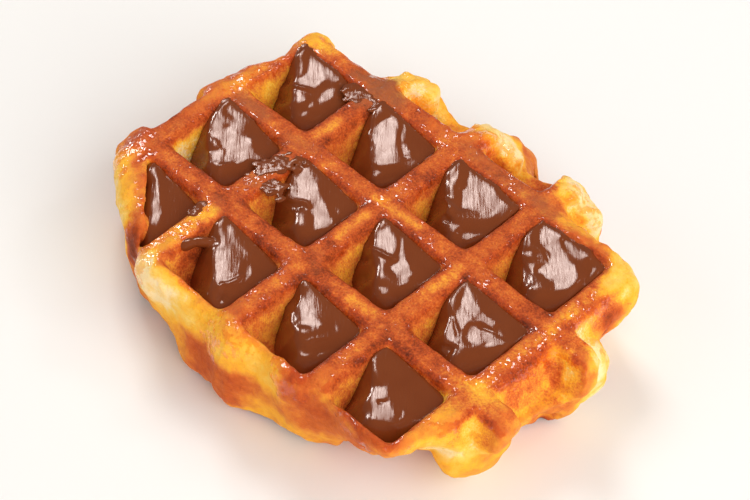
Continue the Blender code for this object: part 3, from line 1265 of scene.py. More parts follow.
def settle(
    slope_right: np.ndarray, slope_down: np.ndarray, weight: np.ndarray, step: float, reach: float
) -> np.ndarray:
    """Finds the height whose slopes come nearest to the wanted ones.

    It solves the least squares by conjugate gradients. Where the weight is high the slopes
    are met closely, and further away the height returns to 0.

    Args:
        slope_right: the wanted slope between neighbours across, one column fewer than weight.
        slope_down: the wanted slope between neighbours down, one row fewer than weight.
        weight: how much each point counts.
        step: the distance between neighbours.
        reach: how far from a facet the height returns to 0.

    Returns:
        The height at each point.
    """
    rounds = 500
    close_enough = 1e-7
    weight_right = (weight[:, 1:] + weight[:, :-1]) / 2
    weight_down = (weight[1:, :] + weight[:-1, :]) / 2
    anchor = 1.0 / reach**2

    def gather(right: np.ndarray, down: np.ndarray) -> np.ndarray:
        """Adds up at each point what comes in from its four sides."""
        total = np.zeros(weight.shape)
        total[:, 1:] += right
        total[:, :-1] -= right
        total[1:, :] += down
        total[:-1, :] -= down
        return total / step

    def respond(height: np.ndarray) -> np.ndarray:
        """Gives the left side of the equations for a height."""
        right = weight_right * (height[:, 1:] - height[:, :-1]) / step
        down = weight_down * (height[1:, :] - height[:-1, :]) / step
        return gather(right, down) + anchor * height

    height = np.zeros(weight.shape)
    rest = gather(weight_right * slope_right, weight_down * slope_down)
    search = rest.copy()
    size = float((rest * rest).sum())
    start = size
    for _ in range(rounds):
        if size < close_enough * start or size == 0.0:
            break
        image = respond(search)
        stride = size / float((search * image).sum())
        height += stride * search
        rest -= stride * image
        new_size = float((rest * rest).sum())
        search = rest + search * (new_size / size)
        size = new_size
    return height


def from_diagonals(right: float, down: float, height: float) -> Vector:
    """Turns a place seen from the front corner, in millimetres, into X, Y and Z in metres."""
    return Vector(((right + down) / DIAGONAL, (right - down) / DIAGONAL, height)) * MM


@dataclass(frozen=True)
class Texture:
    """What all dollops share: their noise, how finely they are drawn and how they stick."""

    edge_wander: tuple[Ripple, ...] = (Ripple(0.9, 30.0, 4.5),)
    body: tuple[Ripple, ...] = (Ripple(0.10, 5.0, 6.0),)
    ragged: tuple[Ripple, ...] = (Ripple(0.42, 0.6, 2.2), Ripple(0.22, 0.3, 0.9))
    streaks: tuple[Ripple, ...] = (Ripple(0.10, 0.5, 4.0), Ripple(0.09, 1.6, 3.0))
    sag: tuple[Ripple, ...] = (Ripple(0.05, 2.2, 1.8),)
    half_grid: float = 14.0
    grid_points: int = 113
    # What lies 1 mm lower looks this much further down, seen from 49 degrees up.
    sinking: float = 0.867
    # How far the ridge's apex fades down the picture, and how soft the knees in front are.
    apex_fade: Point = (-7.0, 0.5)
    front_knee: float = 0.6
    nose_knee: float = 0.8
    # A facet's soft edge; a narrow one is widened a little, and its edge is less ragged.
    facet_edge: float = 0.20
    narrow: float = 1.5
    narrow_widening: float = 0.15
    narrow_calming: float = 0.8
    facet_weight: float = 25.0
    facet_reach: float = 2.2
    faces: int = 92
    strand_segments: int = 20
    strand_rings: int = 14
    smear_segments: int = 12
    smear_rings: int = 8
    wall_sink: float = 0.45
    wall_sink_width: float = 0.5
    wall_overlap: float = 0.12 * MM
    voxel: float = 0.27 * MM


TEXTURE = Texture()


@dataclass(frozen=True)
class Dollop:
    """One spoonful of spread in its pocket, with its sizes in millimetres.

    Right and down are measured from the pocket's middle, as seen from above the waffle's
    front corner. The dollop has a plain flank on the right, a steep belly on the left and a
    nose in front. The flank's slopes are counted from the one that mirrors the lamp, which the
    facets have.
    """

    column: int
    row: int
    facets: tuple[Facet, ...] = ()
    lips: tuple[Lip, ...] = ()
    dents: tuple[Dent, ...] = ()
    strands: tuple[Strand, ...] = ()
    smears: tuple[Smear, ...] = ()
    crown: float = -0.25
    dull_right: float = -0.25
    dull_down: float = -0.02
    edge: float = -2.6
    edge_lean: float = 0.0
    belly: float = 2.0
    ridge: float = 0.75
    apex: float = 1.0
    front: float = 3.5
    front_slope: float = 0.22
    nose: float = 8.8
    nose_slope: float = 0.9

    @property
    def place(self) -> str:
        """The dollop's column and row as names count them, from 1."""
        return f"{self.column + 1}_{self.row + 1}"

    @staticmethod
    def bend(value: np.ndarray, slope: float, softness: float | np.ndarray) -> np.ndarray:
        """Falls with the given slope where the value is above 0, with a rounded knee."""
        return slope * softness * np.logaddexp(0.0, value / softness)

    def rippled(self, right: np.ndarray, down: np.ndarray, ripples: tuple[Ripple, ...]) -> np.ndarray:
        """Adds up noise that differs from dollop to dollop.

        Args:
            right: the points' places across.
            down: the points' places down.
            ripples: the noises.

        Returns:
            Their sum at each point.
        """
        seed = 5.0 + 3.3 * self.column + 7.9 * self.row
        total = np.zeros(right.shape)
        for ripple in ripples:
            places = [right.ravel() / ripple.across, down.ravel() / ripple.along, np.zeros(right.size)]
            total += ripple.amount * noise_at(np.stack(places, axis=1), 1.0, seed).reshape(right.shape)
        return total

    def form(self, right: np.ndarray, down: np.ndarray, mirror: Point) -> np.ndarray:
        """Works out the dollop's large form, before its facets.

        Args:
            right: the points' places across.
            down: the points' places down.
            mirror: the slopes across and down that mirror the lamp into the camera.

        Returns:
            The height at each point.
        """
        wander = self.rippled(right, down, TEXTURE.edge_wander)
        left = self.edge + self.edge_lean * down + wander - right
        height = np.full(right.shape, self.crown)
        height += (mirror[0] + self.dull_right) * right + (mirror[1] + self.dull_down) * down
        fade = smooth_step(*TEXTURE.apex_fade, down)
        softness = self.ridge * (self.apex + (1.0 - self.apex) * fade)
        height -= self.bend(left, self.belly, softness)
        height -= self.bend(down - self.front, self.front_slope, TEXTURE.front_knee)
        height -= self.bend(down - self.nose, self.nose_slope, TEXTURE.nose_knee)
        height += self.rippled(right, down, TEXTURE.body)
        return height

    def facet_mask(self, right: np.ndarray, seen: np.ndarray) -> np.ndarray:
        """Works out where the facets lie, with ragged edges.

        Args:
            right: the points' places across.
            seen: the points' places down, as the camera sees them.

        Returns:
            How much each point belongs to a facet, from 0 to 1.
        """
        ragged = self.rippled(right, seen, TEXTURE.ragged)
        mask = np.zeros(right.shape)
        for flat in self.facets:
            depth = depth_inside(right, seen, flat.outline)
            thin = 1.0 - min(1.0, depth.max() / TEXTURE.narrow)
            depth = depth + TEXTURE.narrow_widening * thin
            depth = depth + (1.0 - TEXTURE.narrow_calming * thin) * ragged
            inside = smooth_step(-TEXTURE.facet_edge, TEXTURE.facet_edge, depth)
            mask = np.maximum(mask, inside * flat.amount)
        return mask

    def surface(self, mirror: Point) -> tuple[np.ndarray, np.ndarray]:
        """Works out the dollop's skin on a square grid.

        Args:
            mirror: the slopes across and down that mirror the lamp into the camera.

        Returns:
            The grid's places along one side, and the height at each point, rows going down.
        """
        places = np.linspace(-TEXTURE.half_grid, TEXTURE.half_grid, TEXTURE.grid_points)
        step = places[1] - places[0]
        right, down = np.meshgrid(places, places)
        height = self.form(right, down, mirror)
        seen = down - TEXTURE.sinking * (height + 1.0)
        for dent in self.dents:
            distance = np.hypot(right - dent.right, seen - dent.down) / dent.radius
            height -= dent.depth * np.exp(-(distance**2))
        for lip in self.lips:
            distance, side, place = distance_to_line(right, seen, lip.line)
            taper = np.sqrt(np.clip(np.sin(place * math.pi), 0.0, 1.0))
            width = np.where(side > 0.0, lip.width * lip.steep, lip.width)
            height += lip.height * taper * np.exp(-((distance / width) ** 2))
        mask = self.facet_mask(right, seen)
        wanted_right = mirror[0] + self.rippled(right, seen, TEXTURE.streaks)
        wanted_down = mirror[1] + self.rippled(right, seen, TEXTURE.sag)
        mask_right = (mask[:, 1:] + mask[:, :-1]) / 2
        mask_down = (mask[1:, :] + mask[:-1, :]) / 2
        slope_right = mask_right * (wanted_right[:, 1:] - (height[:, 1:] - height[:, :-1]) / step)
        slope_down = mask_down * (wanted_down[1:, :] - (height[1:, :] - height[:-1, :]) / step)
        weight = 1.0 + TEXTURE.facet_weight * mask**2
        height += settle(slope_right, slope_down, weight, step, TEXTURE.facet_reach)
        return places, height

    @staticmethod
    def sample(places: np.ndarray, grid: np.ndarray, right: np.ndarray, down: np.ndarray) -> np.ndarray:
        """Reads a grid between its points.

        Args:
            places: the grid's places along one side.
            grid: the value at each point of the grid.
            right: where it is read across.
            down: where it is read down.

        Returns:
            The values there.
        """
        step = places[1] - places[0]
        last = len(places) - 1.001
        column = np.clip((right - places[0]) / step, 0.0, last)
        row = np.clip((down - places[0]) / step, 0.0, last)
        left, top = column.astype(int), row.astype(int)
        x, y = column - left, row - top
        upper = grid[top, left] * (1.0 - x) + grid[top, left + 1] * x
        lower = grid[top + 1, left] * (1.0 - x) + grid[top + 1, left + 1] * x
        return upper * (1.0 - y) + lower * y

    def build(self, iron: Iron, studio: "Studio") -> bpy.types.Object:
        """Makes the dollop inside its pocket.

        Args:
            iron: the pattern that the pocket belongs to.
            studio: the lamps and the camera, which the facets turn to.

        Returns:
            The dollop's object.
        """
        bm = bmesh.new()
        bmesh.ops.create_grid(
            bm, x_segments=TEXTURE.faces, y_segments=TEXTURE.faces, size=iron.half_flare
        )
        verts = bm.verts[:]
        across = np.array([vert.co.x for vert in verts]) / MM
        along = np.array([vert.co.y for vert in verts]) / MM
        centre = iron.centre(self.column, self.row)
        places, grid = self.surface(studio.mirror(centre, iron))
        heights = self.sample(places, grid, (across + along) / DIAGONAL, (across - along) / DIAGONAL)
        wall = iron.half_mouth / MM - np.maximum(np.abs(across), np.abs(along))
        sink = np.exp(-np.clip(wall + 0.1, 0.0, None) / TEXTURE.wall_sink_width)
        heights -= TEXTURE.wall_sink * sink
        lowest = -iron.depth - 1.0 * MM
        for vert, height in zip(verts, heights):
            vert.co.z = max(height * MM, lowest)
        drape = bmesh.ops.extrude_face_region(bm, geom=bm.faces[:])
        for item in drape["geom"]:
            if isinstance(item, bmesh.types.BMVert):
                item.co.z = lowest - 2.0 * MM
        bm.transform(Matrix.Translation(centre))
        dollop = mesh_object(f"spread_{self.place}", bm)

        walls = iron.tooth(TEXTURE.wall_overlap, self.column, self.row)
        walls.transform(Matrix.Translation(centre))
        cut(dollop, "INTERSECT", mesh_object("pocket_walls", walls))
        sauce = bmesh.new()
        for strand in self.strands:
            self.add_strand(sauce, strand, centre)
        for smear in self.smears:
            self.add_smear(sauce, smear, centre)
        melt_in(dollop, sauce)
        redraw(dollop, TEXTURE.voxel, 2)
        return dollop

    @staticmethod
    def add_strand(bm: bmesh.types.BMesh, strand: Strand, centre: Vector) -> None:
        """Adds a string of spread.

        Args:
            bm: the mesh that takes it.
            strand: where it lies.
            centre: the pocket's middle.
        """
        start = centre + from_diagonals(*strand.start)
        end = centre + from_diagonals(*strand.end)
        run = end - start
        turn = run.to_track_quat("Z", "Y").to_matrix().to_4x4()
        size = Matrix.Diagonal((strand.radius * MM, strand.radius * MM, run.length / 2, 1.0))
        matrix = Matrix.Translation((start + end) / 2) @ turn @ size
        add_ball(bm, TEXTURE.strand_segments, TEXTURE.strand_rings, matrix)

    def add_smear(self, bm: bmesh.types.BMesh, smear: Smear, centre: Vector) -> None:
        """Scatters the lumps of a smear along its line, every fourth one broad and flat.

        Args:
            bm: the mesh that takes them.
            smear: where they lie.
            centre: the pocket's middle.
        """
        chance = np.random.default_rng(10 * self.column + self.row + smear.count)
        corners = np.array(smear.line)
        numbers = range(len(corners))
        for number in range(smear.count):
            broad = 1.7 if number % 4 == 0 else 1.0
            place = chance.uniform(0.0, len(corners) - 1.0)
            right = np.interp(place, numbers, corners[:, 0]) + chance.normal(0.0, smear.width / 2)
            down = np.interp(place, numbers, corners[:, 1]) + chance.normal(0.0, smear.width / 2)
            long = broad * smear.size * chance.uniform(0.55, 1.2)
            rise = smear.height + chance.normal(0.0, 0.12)
            short = long * chance.uniform(0.5, 0.9)
            size = Matrix.Diagonal((long * MM, short * MM, 0.32 * long / broad**1.5 * MM, 1.0))
            turn = Matrix.Rotation(chance.normal(0.8, 0.5), 4, "Z")
            move = Matrix.Translation(centre + from_diagonals(right, down, rise))
            add_ball(bm, TEXTURE.smear_segments, TEXTURE.smear_rings, move @ turn @ size)


@dataclass(frozen=True)
class Beam:
    """A soft square lamp: where it hangs round the object, its size and its radiance.

    The angles are in degrees. A lamp may light dull surfaces, and shiny ones may mirror it.
    """

    azimuth: float
    elevation: float
    size: float
    distance: float
    radiance: float
    lightens: bool = True
    mirrored: bool = True


class Lamp(Enum):
    """The studio's lamps."""

    KEY = Beam(-119.0, 50.0, 0.34, 1.0, 10.4)
    CORE = Beam(-119.0, 50.0, 0.12, 0.99, 14.0, lightens=False)
    FILL = Beam(84.0, 32.0, 1.3, 1.2, 3.1, mirrored=False)
    FRONT = Beam(-22.0, 26.0, 0.9, 1.2, 1.3, mirrored=False)
    LEFT = Beam(-96.0, 24.0, 0.15, 1.0, 34.0, lightens=False)
    BACK = Beam(148.0, 46.0, 0.14, 1.0, 9.5)


@dataclass(frozen=True)
class Studio:
    """A pale floor, soft lamps and the camera of the photograph."""

    camera_azimuth: float = 41.53
    camera_elevation: float = 48.99
    camera_roll: float = 3.39
    camera_distance: float = 0.4887
    aim_x: float = 8.1 * MM
    aim_y: float = 0.9 * MM
    lens_mm: float = 111.6
    sensor_mm: float = 36.0
    floor_half: float = 3.0
    floor_drop: float = 0.02 * MM
    floor_colour: str = "F4F3F1"
    sky_colour: str = "FFF3E6"
    sky_strength: float = 0.29

    def floor(self) -> None:
        """Lays a wide pale floor."""
        bm = bmesh.new()
        bmesh.ops.create_grid(bm, x_segments=1, y_segments=1, size=self.floor_half)
        mesh = bpy.data.meshes.new("studio_floor")
        bm.to_mesh(mesh)
        bm.free()
        floor = bpy.data.objects.new("studio_floor", mesh)
        floor.location.z = -self.floor_drop
        bpy.context.scene.collection.objects.link(floor)
        material, _, shader = new_material("matte_white_paper")
        paper = {"Base Color": linear(self.floor_colour), "Roughness": 0.9, "Specular IOR Level": 0.1}
        set_inputs(shader, paper)
        mesh.materials.append(material)

    @staticmethod
    def direction(azimuth: float, elevation: float) -> Vector:
        """Gives the unit vector towards an azimuth and an elevation in degrees."""
        turn, rise = math.radians(azimuth), math.radians(elevation)
        return Vector((math.sin(turn) * math.cos(rise), -math.cos(turn) * math.cos(rise), math.sin(rise)))

    def aim(self, iron: Iron) -> Vector:
        """Gives the point on the waffle's top face that the camera looks at."""
        return Vector((iron.middle_x + self.aim_x, iron.middle_y + self.aim_y, iron.thickness))

    def mirror(self, point: Vector, iron: Iron) -> Point:
        """Finds how a surface leans to mirror the main lamp into the camera.

        Args:
            point: where the surface is.
            iron: the pattern that the camera's aim is counted from.

        Returns:
            The surface's slope across and down, along the pocket's diagonals.
        """
        back = self.direction(self.camera_azimuth, self.camera_elevation)
        camera = self.aim(iron) + back * self.camera_distance
        key = Lamp.KEY.value
        lamp = Vector((0.0, 0.0, iron.thickness)) + self.direction(key.azimuth, key.elevation) * key.distance
        half = (camera - point).normalized() + (lamp - point).normalized()
        slope_x, slope_y = -half.x / half.z, -half.y / half.z
        return (slope_x + slope_y) / DIAGONAL, (slope_x - slope_y) / DIAGONAL

    def lamps(self, target: Vector) -> None:
        """Hangs the lamps and sets the light of the sky.

        Args:
            target: the point that the lamps shine on.
        """
        for lamp in Lamp:
            beam = lamp.value
            data = bpy.data.lights.new(f"lamp_{lamp.name.lower()}", "AREA")
            data.shape = "SQUARE"
            data.size = beam.size
            data.energy = beam.radiance * math.pi * beam.size**2
            obj = bpy.data.objects.new(data.name, data)
            back = self.direction(beam.azimuth, beam.elevation)
            obj.location = target + back * beam.distance
            obj.rotation_euler = back.to_track_quat("Z", "Y").to_euler()
            obj.visible_diffuse = beam.lightens
            obj.visible_glossy = beam.mirrored
            bpy.context.scene.collection.objects.link(obj)
        world = bpy.data.worlds.new("studio_air")
        world.use_nodes = True
        sky = {"Color": linear(self.sky_colour), "Strength": self.sky_strength}
        set_inputs(world.node_tree.nodes["Background"], sky)
        bpy.context.scene.world = world

    def camera(self, iron: Iron) -> None:
        """Sets the camera where the photograph was taken from.

        Args:
            iron: the pattern that the camera's aim is counted from.
        """
        roll = math.radians(self.camera_roll)
        back = self.direction(self.camera_azimuth, self.camera_elevation)
        right = Vector((0.0, 0.0, 1.0)).cross(back).normalized()
        up = back.cross(right)
        turned_right = math.cos(roll) * right + math.sin(roll) * up
        turned_up = -math.sin(roll) * right + math.cos(roll) * up
        data = bpy.data.cameras.new("camera")
        data.lens = self.lens_mm
        data.sensor_width = self.sensor_mm
        camera = bpy.data.objects.new("camera", data)
        bpy.context.scene.collection.objects.link(camera)
        turn = Matrix((turned_right, turned_up, back)).transposed().to_4x4()
        camera.matrix_world = Matrix.Translation(self.aim(iron) + back * self.camera_distance) @ turn
        bpy.context.scene.camera = camera


DOLLOPS = (
    Dollop(
        column=0, row=2, edge=-2.6,
        facets=(
            facet(
                (1.2, -12.5), (2.5, -12.0), (4.5, -10.8), (6.5, -8.0), (7.5, -6.0), (8.2, -3.2),
                (7.0, -2.4), (6.0, -4.0), (4.0, -3.6), (3.0, -1.8), (1.5, -1.5), (0.2, -2.0),
                (-1.5, -2.5), (-2.2, -4.2), (-1.5, -4.8), (0.2, -5.0), (0.6, -8.0), (1.0, -11.0),
            ),
            facet((4.2, -0.6), (7.0, -0.5), (6.4, 1.8), (5.2, 2.8), (3.0, 2.5), (3.8, 0.8)),
            facet((9.0, -1.0), (9.9, -0.6), (9.2, 0.8), (8.4, 1.2)),
            facet((-2.2, 0.4), (-1.0, 0.6), (0.2, 2.8), (-0.4, 3.3), (-1.5, 1.8)),
            facet((0.9, 3.5), (1.8, 3.9), (1.6, 5.2), (0.6, 4.6)),
            facet((-0.3, 5.6), (0.4, 6.5), (0.0, 8.3), (-0.6, 7.3)),
            facet((3.6, 7.0), (2.6, 8.6), (2.3, 8.0), (2.9, 7.2)),
            facet((-5.6, -0.6), (-4.0, -4.0), (-4.4, -4.0), (-5.3, -2.2)),
        ),
        lips=(Lip(((-5.0, -1.2), (-3.0, -2.0), (-0.5, -1.2), (2.0, 0.0)), 0.7, 0.7),),
        dents=(
            Dent(-4.6, 1.6, 1.5, 1.2),
            Dent(4.6, -7.2, 0.3, 0.3),
        ),
        smears=(Smear(((9.6, 1.2), (12.5, 2.2), (16.5, 2.0)), 2.8, 0.85, 130, -0.14),),
    ),
    Dollop(
        column=0, row=1, edge=-3.4, front=5.0, nose=8.2,
        facets=(
            facet(
                (-2.8, -9.8), (-2.3, -8.0), (-1.7, -5.6), (-0.8, -5.0), (1.0, -6.5), (2.0, -4.0),
                (3.4, -2.2), (5.2, -1.6), (5.7, 1.0), (6.2, 2.6), (7.8, 4.2), (7.0, 5.2), (5.0, 4.2),
                (3.6, 5.2), (2.5, 5.8), (2.2, 4.0), (0.8, 3.0), (-0.6, 4.8), (-0.4, 2.6), (0.0, 1.0),
                (-1.4, -1.0), (-2.0, -2.6), (-3.0, -3.0), (-4.4, -3.0), (-3.8, -5.0), (-3.3, -7.0),
            ),
            facet(
                (0.0, -12.6), (2.0, -11.0), (4.0, -9.6), (6.6, -8.2), (5.0, -7.6), (3.6, -8.6),
                (2.6, -9.0), (3.6, -6.2), (2.0, -7.6), (1.0, -9.6), (0.1, -10.0), (-0.3, -11.5),
            ),
            facet(
                (-3.6, 1.6), (-2.0, 1.0), (-1.0, 1.6), (-1.4, 3.4), (-2.4, 4.2), (-3.4, 4.0), (-4.0, 2.6),
            ),
            facet((8.8, -1.4), (9.2, -1.2), (9.1, -0.5), (8.8, -0.8)),
        ),
        lips=(Lip(((-2.0, 9.0), (-1.0, 6.0), (1.6, 5.6)), 0.5, 0.6),),
    ),
    Dollop(
        column=0, row=0, edge=0.4, crown=-0.5, front=6.0,
        facets=(
            facet(
                (2.6, 1.0), (3.6, 3.0), (3.2, 6.0), (2.2, 9.0), (1.9, 9.0), (2.6, 5.0), (2.8, 3.0),
                amount=0.6,
            ),
            facet(
                (4.2, -9.0), (5.6, -8.2), (7.6, -8.0), (7.2, -5.4), (6.6, -5.2), (5.6, -7.0), (4.2, -8.0),
            ),
            facet((2.1, -5.6), (2.7, -4.0), (2.4, -3.4), (2.0, -5.0)),
            facet((12.0, -3.4), (11.2, 0.2), (10.2, 2.0), (10.0, 1.6), (11.0, -0.6)),
            facet((8.4, 4.6), (9.6, 4.4), (8.8, 5.4)),
        ),
        lips=(Lip(((2.2, -8.0), (2.6, -4.0), (3.1, 0.0), (3.5, 3.0), (2.2, 10.0)), 0.22, 0.6, 1.0),),
        smears=(Smear(((12.4, 0.8), (11.6, 2.8), (9.8, 4.6)), 0.5, 0.85, 44, -0.2),),
    ),
    Dollop(
        column=1, row=2, edge=-2.2, nose=8.6,
        facets=(
            facet(
                (0.8, -9.2), (2.0, -9.6), (3.6, -8.5), (3.8, -5.0), (3.4, -3.6), (3.5, 0.0), (3.9, 2.0),
                (4.2, 3.6), (6.0, 4.0), (8.0, 4.6), (7.2, 5.8), (5.0, 7.7), (5.6, 6.0), (4.0, 5.0),
                (0.4, 5.0), (-2.3, 4.8), (-2.0, 2.8), (-1.2, 1.8), (-1.6, -0.4), (-2.4, -2.6),
                (-3.2, -4.0), (-2.0, -5.2), (-1.2, -6.6), (-0.6, -8.2),
            ),
            facet((4.6, -7.5), (5.4, -8.0), (5.2, -5.0), (4.6, -2.2), (4.2, -3.0), (4.6, -5.0)),
            facet((4.6, -1.0), (5.4, 0.0), (5.8, 1.0), (5.2, 2.6), (4.5, 2.2), (4.4, 0.0)),
            facet((-2.1, 6.4), (-0.6, 6.6), (-1.4, 8.8), (-2.0, 8.6), (-1.8, 7.4)),
            facet(
                (-1.4, 10.2), (0.8, 9.4), (2.6, 8.6), (3.0, 8.8), (2.0, 9.8), (0.0, 10.5), (-1.0, 10.6),
            ),
        ),
        lips=(
            Lip(((-1.0, -3.2), (-0.7, -1.0), (-0.9, 1.6)), -0.35, 0.3, 1.0),
            Lip(((2.5, -8.6), (2.4, -4.8)), -0.3, 0.3, 1.0),
            Lip(((4.0, -6.0), (3.9, -1.0), (4.3, 2.6), (5.4, 2.8), (6.0, 0.0)), -0.3, 0.3, 1.0),
        ),
        dents=(Dent(0.1, -7.2, 0.35, 0.35),),
    ),
    Dollop(
        column=1, row=1, edge=-2.4, front=6.4, nose=8.8,
        facets=(
            facet(
                (-1.0, -12.4), (0.4, -12.2), (0.6, -10.6), (1.2, -8.4), (2.0, -7.0), (2.8, -5.8),
                (3.2, -3.4), (4.2, -0.4), (5.0, 1.4), (5.2, 3.0), (6.0, 4.6), (6.7, 5.4), (5.8, 6.8),
                (5.0, 7.6), (2.5, 7.5), (2.0, 5.0), (1.7, 2.6), (1.6, 0.4), (1.0, -1.2), (0.2, -1.6),
                (-1.0, -2.0), (-2.6, -1.6), (-4.0, -0.5), (-3.6, -2.6), (-3.4, -5.0), (-2.6, -6.4),
                (-1.7, -7.0), (-1.2, -9.0),
            ),
            facet((-4.6, 1.1), (-2.6, 0.2), (-1.2, 0.0), (-2.6, 0.9), (-4.4, 1.4)),
            facet((6.8, 0.8), (7.3, 2.0), (7.5, 2.9), (7.0, 2.8), (6.6, 1.6)),
            facet((-6.0, -3.6), (-5.2, -3.0), (-5.2, -1.0), (-6.0, -0.8)),
        ),
        lips=(Lip(((-6.5, 1.8), (-4.0, 0.0), (-1.5, -1.2), (0.4, -0.9), (1.1, 0.8)), 0.9, 0.9, 0.45),),
        dents=(Dent(-3.8, 3.6, 2.0, 1.0),),
        smears=(
            Smear(((-10.0, -8.6), (-6.0, -10.2), (-1.6, -12.4)), 2.3, 0.85, 150, -0.14),
            Smear(((-10.4, -8.0), (-7.6, -4.6), (-5.0, -3.0)), 2.2, 0.75, 90, -0.5),
        ),
    ),
    Dollop(
        column=1, row=0, edge=-2.0, front=5.0, nose=9.4,
        facets=(
            facet(
                (-1.6, -5.0), (-0.8, -3.6), (0.2, -4.0), (0.6, -2.0), (0.8, 1.0), (1.4, 2.0), (2.2, 2.8),
                (1.0, 4.2), (-0.8, 4.0), (-1.8, 4.6), (-2.0, 1.0), (-2.1, -2.0), (-1.8, -3.6),
            ),
            facet(
                (0.4, -10.6), (1.2, -12.0), (2.0, -11.4), (2.2, -9.6), (2.0, -8.0), (2.6, -6.0),
                (3.6, -4.6), (6.0, -2.2), (4.4, -3.0), (2.6, -4.8), (1.6, -6.4), (0.8, -8.4), amount=0.85,
            ),
            facet((3.2, -0.5), (3.7, 0.0), (3.0, 2.4), (2.2, 3.0), (2.8, 1.4)),
            facet((5.2, 0.5), (6.0, 1.4), (6.1, 3.0), (5.0, 4.6), (4.2, 5.4), (4.4, 4.0), (5.0, 2.4)),
            facet((0.6, 5.9), (2.0, 4.9), (3.6, 4.2), (3.0, 5.0), (1.4, 5.8)),
            facet((0.4, 10.2), (0.0, 11.4), (-1.0, 12.4), (-1.0, 11.6), (-0.2, 10.8)),
            facet((-3.0, -7.0), (-2.0, -7.0), (-1.8, -5.6), (-2.8, -5.4)),
        ),
        lips=(Lip(((-1.2, 7.5), (0.2, 5.8), (2.4, 5.2), (3.8, 4.2), (4.4, 2.8)), 0.6, 0.7, 0.5),),
        dents=(Dent(-0.2, 9.0, 1.2, 0.9),),
        strands=(
            Strand((-9.8, -4.4, -1.4), (-5.6, -6.0, -0.9), 1.3),
            Strand((-7.4, -5.8, -0.9), (-1.8, -6.2, -1.4), 1.2),
        ),
    ),
    Dollop(
        column=2, row=2, edge=-3.4, front=3.8, nose=9.0,
        facets=(
            facet(
                (2.0, -12.6), (2.6, -12.0), (3.0, -10.0), (4.0, -10.6), (5.0, -11.0), (4.4, -10.0),
                (4.4, -8.8), (5.4, -8.0), (8.2, -7.0), (7.4, -5.6), (7.0, -4.8), (7.6, -3.6), (8.0, -1.4),
                (9.0, -0.6), (9.8, 0.0), (10.2, 1.6), (9.6, 2.8), (8.0, 4.2), (8.2, 2.4), (7.6, 1.6),
                (6.6, 2.8), (5.0, 3.8), (6.0, 1.2), (4.6, 1.4), (3.6, 2.4), (3.6, 1.0), (2.0, 0.4),
                (0.6, -0.6), (-0.6, 0.0), (-0.2, -1.4), (-0.1, -3.0), (-0.4, -5.4), (1.0, -6.0),
                (0.8, -8.0), (1.8, -9.6), (1.6, -11.0),
            ),
            facet(
                (-0.4, -11.0), (-0.8, -8.4), (-2.0, -7.4), (-2.6, -6.0), (-3.0, -6.6), (-2.0, -8.0),
                (-1.2, -10.0),
            ),
            facet(
                (0.0, 6.6), (1.2, 7.2), (3.0, 7.6), (6.0, 7.2), (4.0, 8.6), (2.0, 9.4), (0.8, 10.4),
                (0.2, 9.6), (0.0, 8.2), (-1.0, 7.4),
            ),
            facet(
                (-2.6, 4.0), (-1.4, 4.6), (-0.8, 5.8), (-1.8, 6.2), (-2.2, 7.6), (-3.2, 6.8), (-3.4, 5.2),
            ),
        ),
        lips=(Lip(((-4.2, -2.8), (-2.9, 0.0), (-3.6, 2.4)), 0.8, 1.0, 0.5),),
        dents=(
            Dent(4.1, 0.4, 0.4, 0.35),
            Dent(-3.2, 3.3, 0.8, 1.2),
        ),
    ),
    Dollop(
        column=2, row=1, edge=-2.0, front=5.0, nose=8.6,
        facets=(
            facet(
                (-1.6, -9.6), (-0.6, -10.0), (0.6, -11.0), (1.0, -10.0), (2.2, -8.4), (2.6, -6.0),
                (2.4, -4.0), (1.8, -3.0), (0.8, -3.2), (-0.4, -4.2), (-1.6, -5.0), (-2.2, -5.2),
                (-2.0, -7.0),
            ),
            facet(
                (3.8, -9.0), (4.2, -7.6), (3.9, -4.0), (4.2, -2.0), (4.9, 0.0), (5.3, 1.4), (5.8, 2.8),
                (4.2, 4.0), (5.6, 4.8), (4.4, 5.2), (2.4, 6.2), (2.8, 4.4), (2.4, 2.0), (1.2, 1.0),
                (1.0, 0.0), (2.0, -0.8), (2.6, -2.0), (2.6, -4.0), (3.0, -6.0), (3.4, -7.6),
            ),
            facet((-1.4, 5.6), (-0.4, 5.4), (0.0, 7.0), (0.3, 7.8), (-0.9, 8.6), (-1.0, 7.0)),
            facet((-2.8, -3.8), (-1.4, -3.4), (-0.6, -2.6), (-1.2, -2.4), (-2.2, -3.2)),
            facet((-3.6, -6.8), (-3.2, -6.0), (-3.6, -4.8), (-4.0, -5.4)),
        ),
        lips=(Lip(((-3.8, -4.2), (-1.5, -4.2), (0.0, -2.9), (1.4, -2.0), (2.4, -1.4)), 0.7, 0.7, 0.45),),
        dents=(
            Dent(-4.0, -2.0, 1.0, 1.6),
            Dent(-3.6, 3.4, 0.9, 0.6),
        ),
    ),
    Dollop(
        column=2, row=0, edge=-1.6, belly=2.4, front=2.0, front_slope=0.3, nose=8.0,
        facets=(
            facet(
                (0.0, -11.6), (0.2, -9.0), (0.2, -7.0), (1.0, -5.0), (2.0, -3.8), (2.8, -2.0),
                (3.8, -0.8), (1.6, -1.0), (0.2, -1.0), (-1.0, -1.6), (-1.8, -0.2), (-2.4, 0.2),
                (-2.8, -2.0), (-2.6, -5.0), (-2.2, -8.0), (-1.8, -8.0), (-2.0, -5.0), (-1.8, -2.0),
                (-1.0, -2.6), (-0.8, -4.0), (-1.2, -6.0), (-0.8, -8.0), (-0.3, -10.0),
            ),
            facet((-2.2, -7.4), (-3.2, -5.0), (-3.8, -3.6), (-3.9, -4.0), (-3.0, -6.4)),
            facet((6.2, -1.4), (6.6, -0.6), (7.6, 0.8), (6.2, 0.2), amount=0.8),
